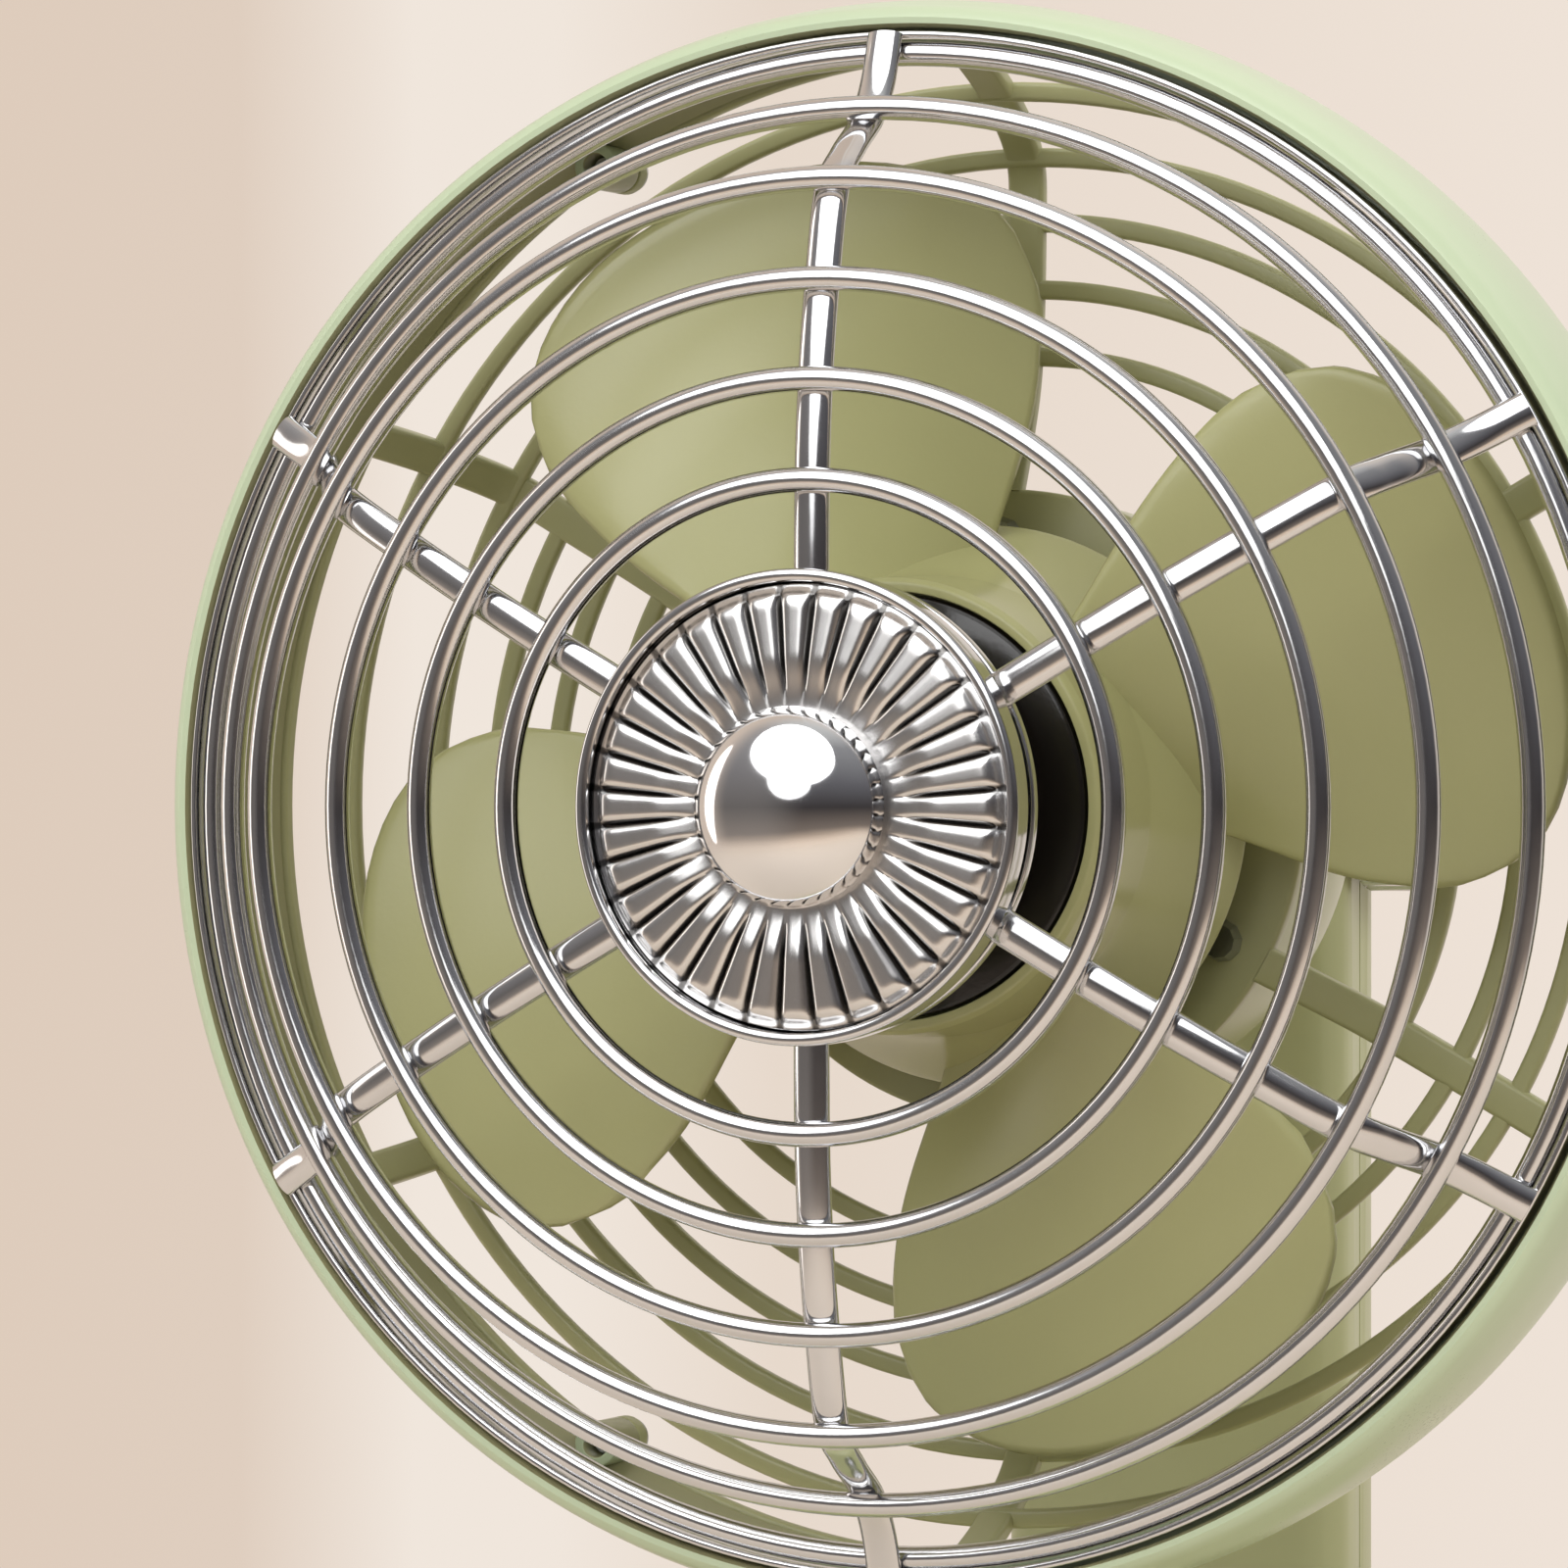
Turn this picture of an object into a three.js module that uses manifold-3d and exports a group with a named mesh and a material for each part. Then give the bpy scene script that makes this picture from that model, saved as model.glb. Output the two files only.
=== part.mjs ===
// Desk fan: a chrome wire guard with a fluted badge, a round green head that tilts on a slab pillar,
// and a round weighted base with a speed knob.
// Millimetres, +Z up. The origin is the middle of the foot pad's underside, and the fan blows towards -Y.
import * as THREE from 'three';
import { mergeVertices } from 'three/addons/utils/BufferGeometryUtils.js';
import Module from 'manifold-3d';

const wasm = await Module();
wasm.setup();

// ---------------------------------------------------------------- driving dimensions

// Whole fan
const fanHeight = 150;          // fan axis and tilt axis above the table
const headReach = 105;          // from the tilt axis forward to the rim plane of the guard
const gap = 0.3;                // clearance between pieces that meet
const slack = 0.1;              // clearance between faces that are clamped together
const roundSides = 40;          // facets around the large rounds
const ringSides = 36;           // facets around the wire rings
const wireSides = 5;

// Head shell: radii are measured from the fan axis, depths behind the rim plane
const headRadius = 92.6;
const headDepth = 23;
const headWall = 2.1;
const headLip = 3.9;            // radial width of the front lip
const headBackInset = 2.4;      // how far the shell draws in towards its open back
const guardLedgeDepth = 3;
const headInnerRadius = headRadius - headLip;
const headBackRadius = headRadius - headBackInset;

// Wire guard
const spokeCount = 6;
const spokeWidth = 4.2;
const spokeThickness = 2.2;
const spokeStart = 9;
const spokeSteps = 10;
const ringWireRadius = 1.4;
const weldSink = 0.4;           // how far a ring wire melts into a spoke
const frontRingCount = 4;       // evenly spaced across the front, before the one on the shoulder
const guardClearance = 0.5;
const rimBandThickness = 0.8;
const rimBandFront = -1.2;
const rimBandBack = 4.9;
const crownDepth = -23.6;       // middle of the flat strip across the front
const crownFlatRadius = 30;
const crownDrop = 6.2;          // how far the crown falls back before the shoulder
const shoulderInset = 18.5;     // from the spoke's end in to the shoulder
const guardPlateRadius = 26;
const guardPlateThickness = 1.5;
const rimBandRadius = headInnerRadius - guardClearance;

// Badge
const badgeRadius = 26.4;
const badgeRimWidth = 1.5;
const badgeHeight = 4.2;
const badgeFloor = 1.2;
const fluteCount = 36;
const fluteDepth = 1.1;
const fluteInnerRadius = 6;
const domeRadius = 11.1;
const domeHeight = 6.4;
const studRadius = 2.6;

// Screws
const screwRadius = 1.2;
const screwHeadRadius = 2.5;
const screwHeadHeight = 1.6;

// Tilt joint
const tongueWidth = 13.4;
const tongueHeight = 16;
const tiltPinRadius = 3;
const washerThickness = 1;
const washerRadius = 7.4;
const slotBelowAxis = 16;
const tiltKnobRadius = 11;
const tiltKnobLength = 9;

// Pillar
const pillarWidth = 45;
const pillarDepth = 18;
const pillarCorner = 5;
const pillarWall = 2.2;

// Motor pod
const podRadius = 36.8;
const podWall = 2.2;
const podBossRadius = 3.8;
const podToPillar = 6.5;
const podScrewCircle = podRadius - podWall - podBossRadius + 0.9;

// Rear grille
const grilleRingShares = [0.32, 0.48, 0.64, 0.794, 0.935];  // places between the disc and the rim
const grilleRingWidth = 2.3;
const grilleRibWidth = 4.5;
const grilleRibSteps = 10;
const grilleThickness = 2.2;
const grilleRimWidth = 2.4;
const grilleScrewCount = 3;
const grilleDiscRadius = podRadius + 0.7;
const grilleRimRadius = headBackRadius - 0.2;
const grilleRimInner = grilleRimRadius - grilleRimWidth;

// Motor
const shaftRadius = 2;
const shaftTip = 0.8;
const motorRadius = podScrewCircle - podBossRadius - 0.9;
const motorScrewCircle = motorRadius - 5;
const bearingRadius = 8;
const bearingWidth = 4.5;
const statorRadius = motorRadius - 2;
const statorBore = 14.8;
const stackLength = 17.5;
const bracketThickness = 2.4;

// Impeller
const bladeCount = 4;
const tipClearance = 11.7;      // from the blade tips to the inside of the head
const bladeHalfAngle = 31;      // degrees
const bladeSetAngle = 21;       // degrees, centre line of the first blade above +X
const bladePitchDepth = 9.5;    // depth of each edge from the middle of the blade
const bladeThickness = 1.8;
const hubFront = -1.2;
const hubBack = headDepth + 7;
const bladeMidDepth = hubBack - 13;
const bladeTipRadius = headInnerRadius - tipClearance;
const capRadius = 24.2;
const hubFrontRadius = capRadius + 1.8;
const hubBackRadius = 33.2;
const hubWall = 1.7;
const hubBossRadius = 6.5;

// Base
const baseRadius = 74;
const baseTop = 25;
const baseShoulder = 13;        // radius of the rounded shoulder
const baseWall = 2.4;
const pillarInset = 28;         // pillar centre line in from the base's back edge
const pillarSetback = baseRadius - pillarInset;
const footRadius = baseRadius - 8;
const footThickness = 2;
const floorThickness = 2.5;
const ballastRadius = pillarSetback - pillarDepth / 2 - 8;
const ballastThickness = 9;
const basePostRadius = 4;
const basePostCircle = baseRadius - 12;
const basePostCount = 3;

// Speed control, on the base in front of the pillar
const speedKnobY = 30 - baseRadius;
const speedKnobRadius = 12;
const speedKnobHeight = 11;
const dialRadius = 16;
const dialThickness = 0.9;
const switchSize = 15;
const switchHeight = 9;
const bushRadius = 3.6;
const bushNutRadius = 5.4;
const speedShaftRadius = 2.4;
const lampRadius = 2.2;
const lampSide = dialRadius + 5; // lamp centre to the side of the knob

// Power socket and circuit board
const socketWidth = 12;
const socketHeight = 6.6;
const socketDepth = 14;
const portWidth = 9;
const portHeight = 3.3;
const portDepth = 7;
const boardLength = 30;
const boardWidth = 24;
const boardThickness = 1.6;
const boardToWall = 10.7;        // at the board's corners
const standoffHeight = 5;
const standoffRadius = 2.6;

// ---------------------------------------------------------------- materials

const finish = (color, roughness, metalness) => (
  new THREE.MeshStandardMaterial({ color, roughness, metalness }));
const green = finish(0xa9b489, 0.35, 0);
const bladeGreen = finish(0xa3a877, 0.4, 0);
const chrome = finish(0xd8d8da, 0.08, 1);
const steel = finish(0x9a9c9e, 0.35, 1);
const blackPlastic = finish(0x17150f, 0.25, 0);
const rubber = finish(0x2b2b2b, 0.8, 0);
const iron = finish(0x55565a, 0.6, 1);
const copper = finish(0xb87343, 0.4, 1);
const boardGreen = finish(0x2f6b45, 0.5, 0);
const lampWhite = finish(0xf3efe2, 0.3, 0);

// ---------------------------------------------------------------- solids

// A closed body with its faces outwards, from any closed geometry.
function solidOf(geometry) {
  const plain = geometry.clone();
  plain.deleteAttribute('normal');
  plain.deleteAttribute('uv');
  const merged = mergeVertices(plain, 1e-4);
  const corners = merged.index.array;
  const places = merged.attributes.position.array;
  const point = (corner) => new THREE.Vector3().fromArray(places, 3 * corner);
  const triangles = [];
  let volume = 0;
  for (let i = 0; i < corners.length; i += 3) {
    const [a, b, c] = corners.slice(i, i + 3);
    if (a !== b && b !== c && c !== a) {
      triangles.push(a, b, c);
      volume += point(a).dot(point(b).cross(point(c)));
    }
  }
  if (volume < 0) triangles.reverse();
  const mesh = new wasm.Mesh({
    numProp: 3,
    vertProperties: Float32Array.from(places),
    triVerts: Uint32Array.from(triangles),
  });
  return new wasm.Manifold(mesh);
}

function geometryOf(solid) {
  const mesh = solid.getMesh();
  const geometry = new THREE.BufferGeometry();
  geometry.setAttribute('position', new THREE.BufferAttribute(mesh.vertProperties, 3));
  geometry.setIndex(new THREE.BufferAttribute(mesh.triVerts, 1));
  return geometry;
}

function combine(operation, geometries) {
  return geometryOf(geometries.map(solidOf).reduce((whole, next) => whole[operation](next)));
}

const join = (...geometries) => combine('add', geometries);
const cut = (...geometries) => combine('subtract', geometries);
const overlap = (...geometries) => combine('intersect', geometries);

// Turned about the fan axis: the profile holds [radius, depth] pairs.
function turned(profile, segments = 20) {
  return new THREE.LatheGeometry(profile.map(([radius, y]) => new THREE.Vector2(radius, y)), segments);
}

// Turned about a vertical axis: the profile holds [radius, height] pairs.
function upright(profile, segments = 20) {
  return turned(profile, segments).rotateX(Math.PI / 2);
}

const closed = (profile) => [...profile, profile[0]];
const bar = (radius, from, to) => [[0, from], [radius, from], [radius, to], [0, to]];
const sleeve = (inner, outer, from, to) => closed([[inner, from], [outer, from], [outer, to], [inner, to]]);

// Hexagonal nut about the fan axis, with a round hole.
function hexNut(bore, radius, from, to) {
  return cut(turned(bar(radius, from, to), 6), turned(bar(bore, from - 1, to + 1)));
}

// A block from its low corner to its high corner.
function block(low, high) {
  const size = high.map((value, axis) => value - low[axis]);
  const middle = high.map((value, axis) => (value + low[axis]) / 2);
  return new THREE.BoxGeometry(...size).translate(...middle);
}

// A bar along X.
function crossBar(radius, from, to, segments = 20) {
  return turned(bar(radius, from, to), segments).rotateZ(-Math.PI / 2);
}

// Turns a geometry about the fan axis; positive is anticlockwise seen from the front.
const aroundFan = (geometry, degrees) => geometry.rotateY(-THREE.MathUtils.degToRad(degrees));

const fan = new THREE.Group();
const stand = new THREE.Group();
const head = new THREE.Group();
head.position.set(0, pillarSetback - headReach, fanHeight);
fan.add(stand, head);

function addPiece(group, name, geometry, material) {
  const mesh = new THREE.Mesh(geometryOf(solidOf(geometry)), material);
  mesh.name = name;
  group.add(mesh);
}

// ---------------------------------------------------------------- wire guard

// Middle line of the spoke that points up: a flat crown, a shoulder, then out to the rim band.
const spokeEnd = rimBandRadius - rimBandThickness / 2;
const shoulderStart = spokeEnd - shoulderInset;
const crownPoints = [0.25, 0.5, 0.75, 1].map((share) => (
  [THREE.MathUtils.lerp(crownFlatRadius, shoulderStart, share), crownDepth + crownDrop * share ** 2.1]));
const spokeLine = new THREE.CatmullRomCurve3([
  [spokeStart, crownDepth],
  [crownFlatRadius, crownDepth],
  ...crownPoints,
  [spokeEnd - 14.2, crownDepth + 10.8],
  [spokeEnd - 10.4, crownDepth + 16.4],
  [spokeEnd - 5.8, crownDepth + 20],
  [spokeEnd, crownDepth + 22.4],
].map(([radius, depth]) => new THREE.Vector3(0, depth, radius)));

// Where a bent strip passes a radius, and its direction there.
function passing(bends, radius) {
  const after = bends.findIndex((point) => point.z >= radius);
  const [near, far] = [bends[after - 1], bends[after]];
  const share = (radius - near.z) / (far.z - near.z);
  return { point: near.clone().lerp(far, share), along: far.clone().sub(near).normalize() };
}

// Centre of a ring wire welded to the spokes where they pass a radius, on the front or the back of them.
const spokeBends = spokeLine.getSpacedPoints(spokeSteps);
function ringSeat(crossing, side) {
  const { point, along } = passing(spokeBends, crossing);
  const offset = side * (spokeThickness / 2 + ringWireRadius - weldSink);
  return [point.z + offset * along.y, point.y - offset * along.z];
}

function wireRing([radius, depth]) {
  const profile = [];
  for (let side = 0; side <= wireSides; side += 1) {
    const angle = 2 * Math.PI * (side % wireSides) / wireSides;
    profile.push([radius + ringWireRadius * Math.cos(angle), depth + ringWireRadius * Math.sin(angle)]);
  }
  return turned(profile, ringSides);
}

function spoke(angle) {
  const section = new THREE.Shape();
  const edge = spokeWidth / 2;
  const face = spokeThickness / 2;
  section.moveTo(-edge, -face);
  section.lineTo(edge, -face);
  section.lineTo(edge, face);
  section.lineTo(-edge, face);
  section.closePath();
  const strip = new THREE.ExtrudeGeometry(section, { steps: spokeSteps, extrudePath: spokeLine });
  return aroundFan(strip, angle);
}

const plateFront = crownDepth + spokeThickness / 2 - 0.2;
const plateBack = plateFront + guardPlateThickness;
const guardPieces = [
  turned(sleeve(studRadius + gap, guardPlateRadius, plateFront, plateBack), ringSides),
  turned(sleeve(rimBandRadius - rimBandThickness, rimBandRadius, rimBandFront, rimBandBack), ringSides),
];
const firstCrossing = guardPlateRadius + 10.2;
for (let i = 0; i < frontRingCount; i += 1) {
  const crossing = THREE.MathUtils.lerp(firstCrossing, shoulderStart, i / (frontRingCount - 1));
  guardPieces.push(wireRing(ringSeat(crossing, 1)));
}
guardPieces.push(wireRing(ringSeat(spokeEnd - 10.6, 1)));
guardPieces.push(wireRing(ringSeat(spokeEnd - 1.4, -1)));
for (let i = 0; i < spokeCount; i += 1) guardPieces.push(spoke(360 * i / spokeCount));
addPiece(head, 'front_guard', join(...guardPieces), chrome);

// ---------------------------------------------------------------- badge in the middle of the guard

const trayBack = crownDepth - spokeThickness / 2 - gap;
const trayFloor = trayBack - badgeFloor;
const badgeFront = trayBack - badgeHeight;
addPiece(head, 'badge_bezel', turned(closed([
  [studRadius + gap, trayBack],
  [badgeRadius - 0.8, trayBack],
  [badgeRadius, trayBack - 1],
  [badgeRadius, badgeFront + 0.8],
  [badgeRadius - badgeRimWidth / 2, badgeFront],
  [badgeRadius - badgeRimWidth, badgeFront + 0.8],
  [badgeRadius - badgeRimWidth, trayFloor],
  [studRadius + gap, trayFloor],
]), ringSides), chrome);

// The fluted disc is a shallow cone whose face is folded into radial pleats.
function flutedDisc() {
  const back = trayFloor - gap;
  const outer = badgeRadius - badgeRimWidth - gap;
  const disc = turned(closed([
    [studRadius + gap, back],
    [outer, back],
    [outer, back - 1.2],
    [fluteInnerRadius + 3, back - 2.4],
    [fluteInnerRadius, back - 2.4],
    [studRadius + gap, back - 2.4],
  ]), 2 * fluteCount);
  const places = disc.attributes.position;
  for (let i = 0; i < places.count; i += 1) {
    const radius = Math.hypot(places.getX(i), places.getZ(i));
    const turn = Math.atan2(places.getX(i), places.getZ(i)) / (2 * Math.PI) * 2 * fluteCount;
    const crest = Math.abs(Math.round(turn)) % 2 === 1;
    const onFace = places.getY(i) < back - 1 && radius > fluteInnerRadius + 1;
    if (crest && onFace) places.setY(i, places.getY(i) - fluteDepth * radius / outer);
  }
  return disc;
}
addPiece(head, 'badge_fluted_disc', flutedDisc(), chrome);

const discFront = trayFloor - gap - 2.4;
function domeProfile() {
  const base = discFront - fluteDepth;
  const profile = [[0, plateBack + 5], [studRadius, plateBack + 5], [studRadius, base]];
  profile.push([domeRadius, base]);
  for (let step = 1; step <= 7; step += 1) {
    const angle = Math.PI / 2 * step / 7;
    profile.push([domeRadius * Math.cos(angle), base - domeHeight * Math.sin(angle)]);
  }
  profile[profile.length - 1][0] = 0;
  return profile;
}
addPiece(head, 'badge_dome', turned(domeProfile(), 24), chrome);
addPiece(head, 'badge_nut', hexNut(studRadius + gap, 5.2, plateBack + slack, plateBack + 3.6), steel);

// ---------------------------------------------------------------- head shell

const ledgeFront = rimBandBack + gap;
const headShell = turned(closed([
  [headInnerRadius, -0.2],
  [headInnerRadius + 0.8, -0.9],
  [headRadius - 1.4, 0.4],
  [headRadius - 0.2, 7],
  [headRadius, 13],
  [headRadius - 0.5, headDepth - 5.5],
  [headBackRadius + 0.8, headDepth - 2],
  [headBackRadius, headDepth],
  [headBackRadius - headWall, headDepth],
  [headBackRadius + 0.7 - headWall, headDepth - 2],
  [headRadius - headWall, 13],
  [headRadius - 2.4, ledgeFront + guardLedgeDepth],
  [headInnerRadius - 2.1, ledgeFront + guardLedgeDepth],
  [headInnerRadius - 2.1, ledgeFront],
  [headInnerRadius, ledgeFront],
]), roundSides);

const grilleScrewRadius = headBackRadius - headWall - 1;
const grilleBossRadius = 2.7;
const grilleBossLength = 7;
const grilleScrewAngles = [];
for (let i = 0; i < grilleScrewCount; i += 1) grilleScrewAngles.push(30 + 360 * i / grilleScrewCount);

// A hole or pin along the fan axis, at a radius and an angle anticlockwise from the top.
function axial(radius, from, to, circle, angle, segments = 10) {
  return aroundFan(turned(bar(radius, from, to), segments).translate(0, 0, circle), angle);
}

const headBosses = grilleScrewAngles.map((angle) => (
  axial(grilleBossRadius, headDepth - grilleBossLength, headDepth, grilleScrewRadius, angle, 16)));
const headHoles = grilleScrewAngles.map((angle) => (
  axial(screwRadius + gap, headDepth + 1 - grilleBossLength, headDepth + 1, grilleScrewRadius, angle)));
addPiece(head, 'head_ring', cut(join(headShell, ...headBosses), ...headHoles), green);

// ---------------------------------------------------------------- rear grille

const rimBack = headDepth + gap + grilleThickness;
const discDepth = rimBack + 11.5;
const grilleSpan = grilleRimInner - grilleDiscRadius;

// Middle line of the rib that points up: out from the disc, a flat back, then steeply in to the rim.
const ribLine = new THREE.CatmullRomCurve3([
  [grilleDiscRadius - 0.6, discDepth + grilleThickness / 2 - gap],
  [grilleDiscRadius + 0.12 * grilleSpan, rimBack + 15.5],
  [grilleDiscRadius + 0.3 * grilleSpan, rimBack + 18.6],
  [grilleDiscRadius + 0.62 * grilleSpan, rimBack + 19.8],
  [grilleDiscRadius + 0.8 * grilleSpan, rimBack + 18.8],
  [grilleDiscRadius + 0.935 * grilleSpan, rimBack + 9.6],
  [grilleRimInner + grilleRimWidth / 2, rimBack - grilleThickness / 2],
].map(([radius, depth]) => new THREE.Vector3(0, depth, radius)));
const ribBends = ribLine.getSpacedPoints(grilleRibSteps);

function grilleRib(angle) {
  const section = new THREE.Shape();
  section.moveTo(-grilleRibWidth / 2, -grilleThickness / 2);
  section.lineTo(grilleRibWidth / 2, -grilleThickness / 2);
  section.lineTo(grilleRibWidth / 2, grilleThickness / 2);
  section.lineTo(-grilleRibWidth / 2, grilleThickness / 2);
  section.closePath();
  const rib = new THREE.ExtrudeGeometry(section, { steps: grilleRibSteps, extrudePath: ribLine });
  return aroundFan(rib, angle);
}

const bearingFront = discDepth - 0.6;
const bracketFront = discDepth + grilleThickness + gap;
const bearingBossRadius = bearingRadius + 2.4 + gap;
const rearGrillePieces = [
  turned(sleeve(grilleRimInner, grilleRimRadius, headDepth + gap, rimBack), roundSides),
  turned(sleeve(bearingBossRadius + gap, grilleDiscRadius, discDepth, discDepth + grilleThickness)),
];
grilleScrewAngles.forEach((angle) => {
  rearGrillePieces.push(axial(grilleBossRadius, headDepth + gap, rimBack, grilleScrewRadius, angle, 16));
});
grilleRingShares.forEach((share) => {
  const radius = grilleDiscRadius + share * grilleSpan;
  const depth = passing(ribBends, radius).point.y;
  const inner = radius - grilleRingWidth / 2;
  const outer = radius + grilleRingWidth / 2;
  const face = grilleThickness / 2 - 0.2;
  rearGrillePieces.push(turned(sleeve(inner, outer, depth - face, depth + face), ringSides));
});
for (let i = 0; i < spokeCount; i += 1) rearGrillePieces.push(grilleRib(360 * i / spokeCount));

const podScrewAngles = [0, 120, 240];
const motorScrewAngles = [60, 180, 300];
const grilleHoles = [
  ...grilleScrewAngles.map((angle) => (
    axial(screwRadius + gap, headDepth - 1, rimBack + 1, grilleScrewRadius, angle))),
  ...podScrewAngles.map((angle) => (
    axial(screwRadius + gap, discDepth - 3, discDepth + 6, podScrewCircle, angle))),
  ...motorScrewAngles.map((angle) => (
    axial(screwRadius + gap, discDepth - 3, discDepth + 6, motorScrewCircle, angle))),
];
addPiece(head, 'rear_grille', cut(join(...rearGrillePieces), ...grilleHoles), green);

// Pan-head screw along the fan axis; side is -1 for a head at the front end and 1 for one at the back.
function axialScrew(face, length, side, circle, angle) {
  const seat = face + side * slack;
  const profile = [
    [0, seat - side * length],
    [screwRadius, seat - side * length],
    [screwRadius, seat],
    [screwHeadRadius, seat],
    [screwHeadRadius * 0.8, seat + side * screwHeadHeight],
    [0, seat + side * screwHeadHeight],
  ];
  return aroundFan(turned(profile, 10).translate(0, 0, circle), angle);
}
grilleScrewAngles.forEach((angle, i) => {
  const screw = axialScrew(rimBack, headWall + grilleThickness + 3, 1, grilleScrewRadius, angle);
  addPiece(head, `grille_screw_${i + 1}`, screw, steel);
});

// ---------------------------------------------------------------- impeller

const hubFlare = hubFront + 15;
const hubWeb = hubFront + 7.1;
const hubBoss = hubBack - 6;

// Outer radius of the hub at a depth: nearly straight at the front, flared at the back.
function hubRadiusAt(depth) {
  const flare = THREE.MathUtils.clamp((depth - hubFlare) / (hubBack - hubFlare), 0, 1);
  return THREE.MathUtils.lerp(hubFrontRadius + 0.6, hubBackRadius, flare);
}

const hub = turned(closed([
  [capRadius + gap, hubFront],
  [hubFrontRadius - 0.6, hubFront],
  [hubFrontRadius, hubFront + 0.8],
  [hubFrontRadius + 0.6, hubFlare],
  [hubBackRadius, hubBack],
  [hubBackRadius - hubWall, hubBack],
  [hubFrontRadius - hubWall, hubFlare],
  [hubFrontRadius - hubWall, hubWeb + 2.4],
  [hubBossRadius, hubWeb + 2.4],
  [hubBossRadius, hubBoss],
  [shaftRadius + gap, hubBoss],
  [shaftRadius + gap, hubWeb],
  [capRadius - 2, hubWeb],
  [capRadius - 2, hubFront + 2.7],
  [capRadius + gap, hubFront + 2.7],
]), 32);

// A blade is a thin box, 8 by 4 cells, laid over a screw surface between the hub and a rounded tip.
function blade(centreAngle) {
  const geometry = new THREE.BoxGeometry(2, 1, 1, 8, 4, 1);
  const places = geometry.attributes.position;
  for (let i = 0; i < places.count; i += 1) {
    const across = places.getX(i);
    const out = places.getY(i) + 0.5;
    const skin = places.getZ(i);
    const widen = 0.84 + 0.16 * Math.sin(Math.PI * Math.min(1, out * 0.75));
    const angle = THREE.MathUtils.degToRad(centreAngle + bladeHalfAngle * across * widen);
    const twist = bladePitchDepth * across * (1 - 0.25 * out);
    const depth = bladeMidDepth - twist + 2.5 * (across * across - 0.5) * out;
    const root = hubRadiusAt(depth) - hubWall / 2;
    const tip = bladeTipRadius * (1 - 0.16 * Math.abs(across) ** 3);
    const radius = THREE.MathUtils.lerp(root, tip, out);
    places.setXYZ(i, radius * Math.cos(angle), depth + skin * bladeThickness, radius * Math.sin(angle));
  }
  return geometry;
}
const blades = [];
for (let i = 0; i < bladeCount; i += 1) blades.push(blade(bladeSetAngle + 360 * i / bladeCount));
addPiece(head, 'impeller', join(hub, ...blades), bladeGreen);

addPiece(head, 'hub_cap', turned([
  [0, hubFront - 1],
  [capRadius - 0.8, hubFront - 0.4],
  [capRadius, hubFront + 0.4],
  [capRadius, hubFront + 2.4],
  [capRadius - 1.6, hubFront + 2.4],
  [capRadius - 1.6, hubFront + 1.2],
  [0, hubFront + 1.2],
], 32), blackPlastic);
addPiece(head, 'impeller_nut', hexNut(shaftRadius + gap, 4.4, hubWeb - 3.4, hubWeb - slack), steel);

// ---------------------------------------------------------------- motor

const bearingBack = bearingFront + bearingWidth;
const statorFront = bracketFront + bracketThickness + slack;
const statorBack = statorFront + stackLength;
const rearBracketFront = statorBack + slack;
const rearBearingFront = rearBracketFront + gap;
const rearBearingBack = rearBearingFront + bearingWidth;

// End bracket: a plate with a bearing cup; the cup opens where the bearing is pushed in.
const frontBracket = turned(closed([
  [bearingRadius + gap, bearingFront],
  [bearingBossRadius, bearingFront],
  [bearingBossRadius, bracketFront],
  [motorRadius, bracketFront],
  [motorRadius, bracketFront + bracketThickness],
  [shaftRadius + 1.5, bracketFront + bracketThickness],
  [shaftRadius + 1.5, bearingBack + slack],
  [bearingRadius + gap, bearingBack + slack],
]));
const bracketHoles = motorScrewAngles.map((angle) => (
  axial(screwRadius + gap, bracketFront - 1, bracketFront + 5, motorScrewCircle, angle)));
addPiece(head, 'motor_front_bracket', cut(frontBracket, ...bracketHoles), steel);
addPiece(head, 'front_bearing', turned(sleeve(
  shaftRadius + gap, bearingRadius, bearingFront, bearingBack)), steel);
addPiece(head, 'stator', turned(sleeve(statorBore, statorRadius, statorFront, statorBack)), copper);
addPiece(head, 'rotor', turned(sleeve(
  shaftRadius + gap, statorBore - gap * 2, statorFront + 1.5, statorBack - 1.5)), iron);
addPiece(head, 'motor_rear_bracket', turned(closed([
  [bearingRadius + gap, rearBracketFront],
  [motorRadius, rearBracketFront],
  [motorRadius, rearBracketFront + bracketThickness],
  [bearingBossRadius, rearBracketFront + bracketThickness],
  [bearingBossRadius, rearBearingBack + 1.2],
  [shaftRadius + 1.5, rearBearingBack + 1.2],
  [shaftRadius + 1.5, rearBearingBack + slack],
  [bearingRadius + gap, rearBearingBack + slack],
])), steel);
addPiece(head, 'rear_bearing', turned(sleeve(
  shaftRadius + gap, bearingRadius, rearBearingFront, rearBearingBack)), steel);
addPiece(head, 'motor_shaft', turned(bar(shaftRadius, shaftTip, rearBearingBack + 0.6)), steel);
motorScrewAngles.forEach((angle, i) => {
  const length = grilleThickness + bracketThickness + gap;
  const screw = axialScrew(discDepth, length, -1, motorScrewCircle, angle);
  addPiece(head, `motor_screw_${i + 1}`, screw, steel);
});

// ---------------------------------------------------------------- motor pod with its tilt tongue

const podFront = discDepth + grilleThickness + gap;
const podBack = headReach - pillarDepth / 2 - podToPillar;
const podLength = podBack - podFront;

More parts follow.
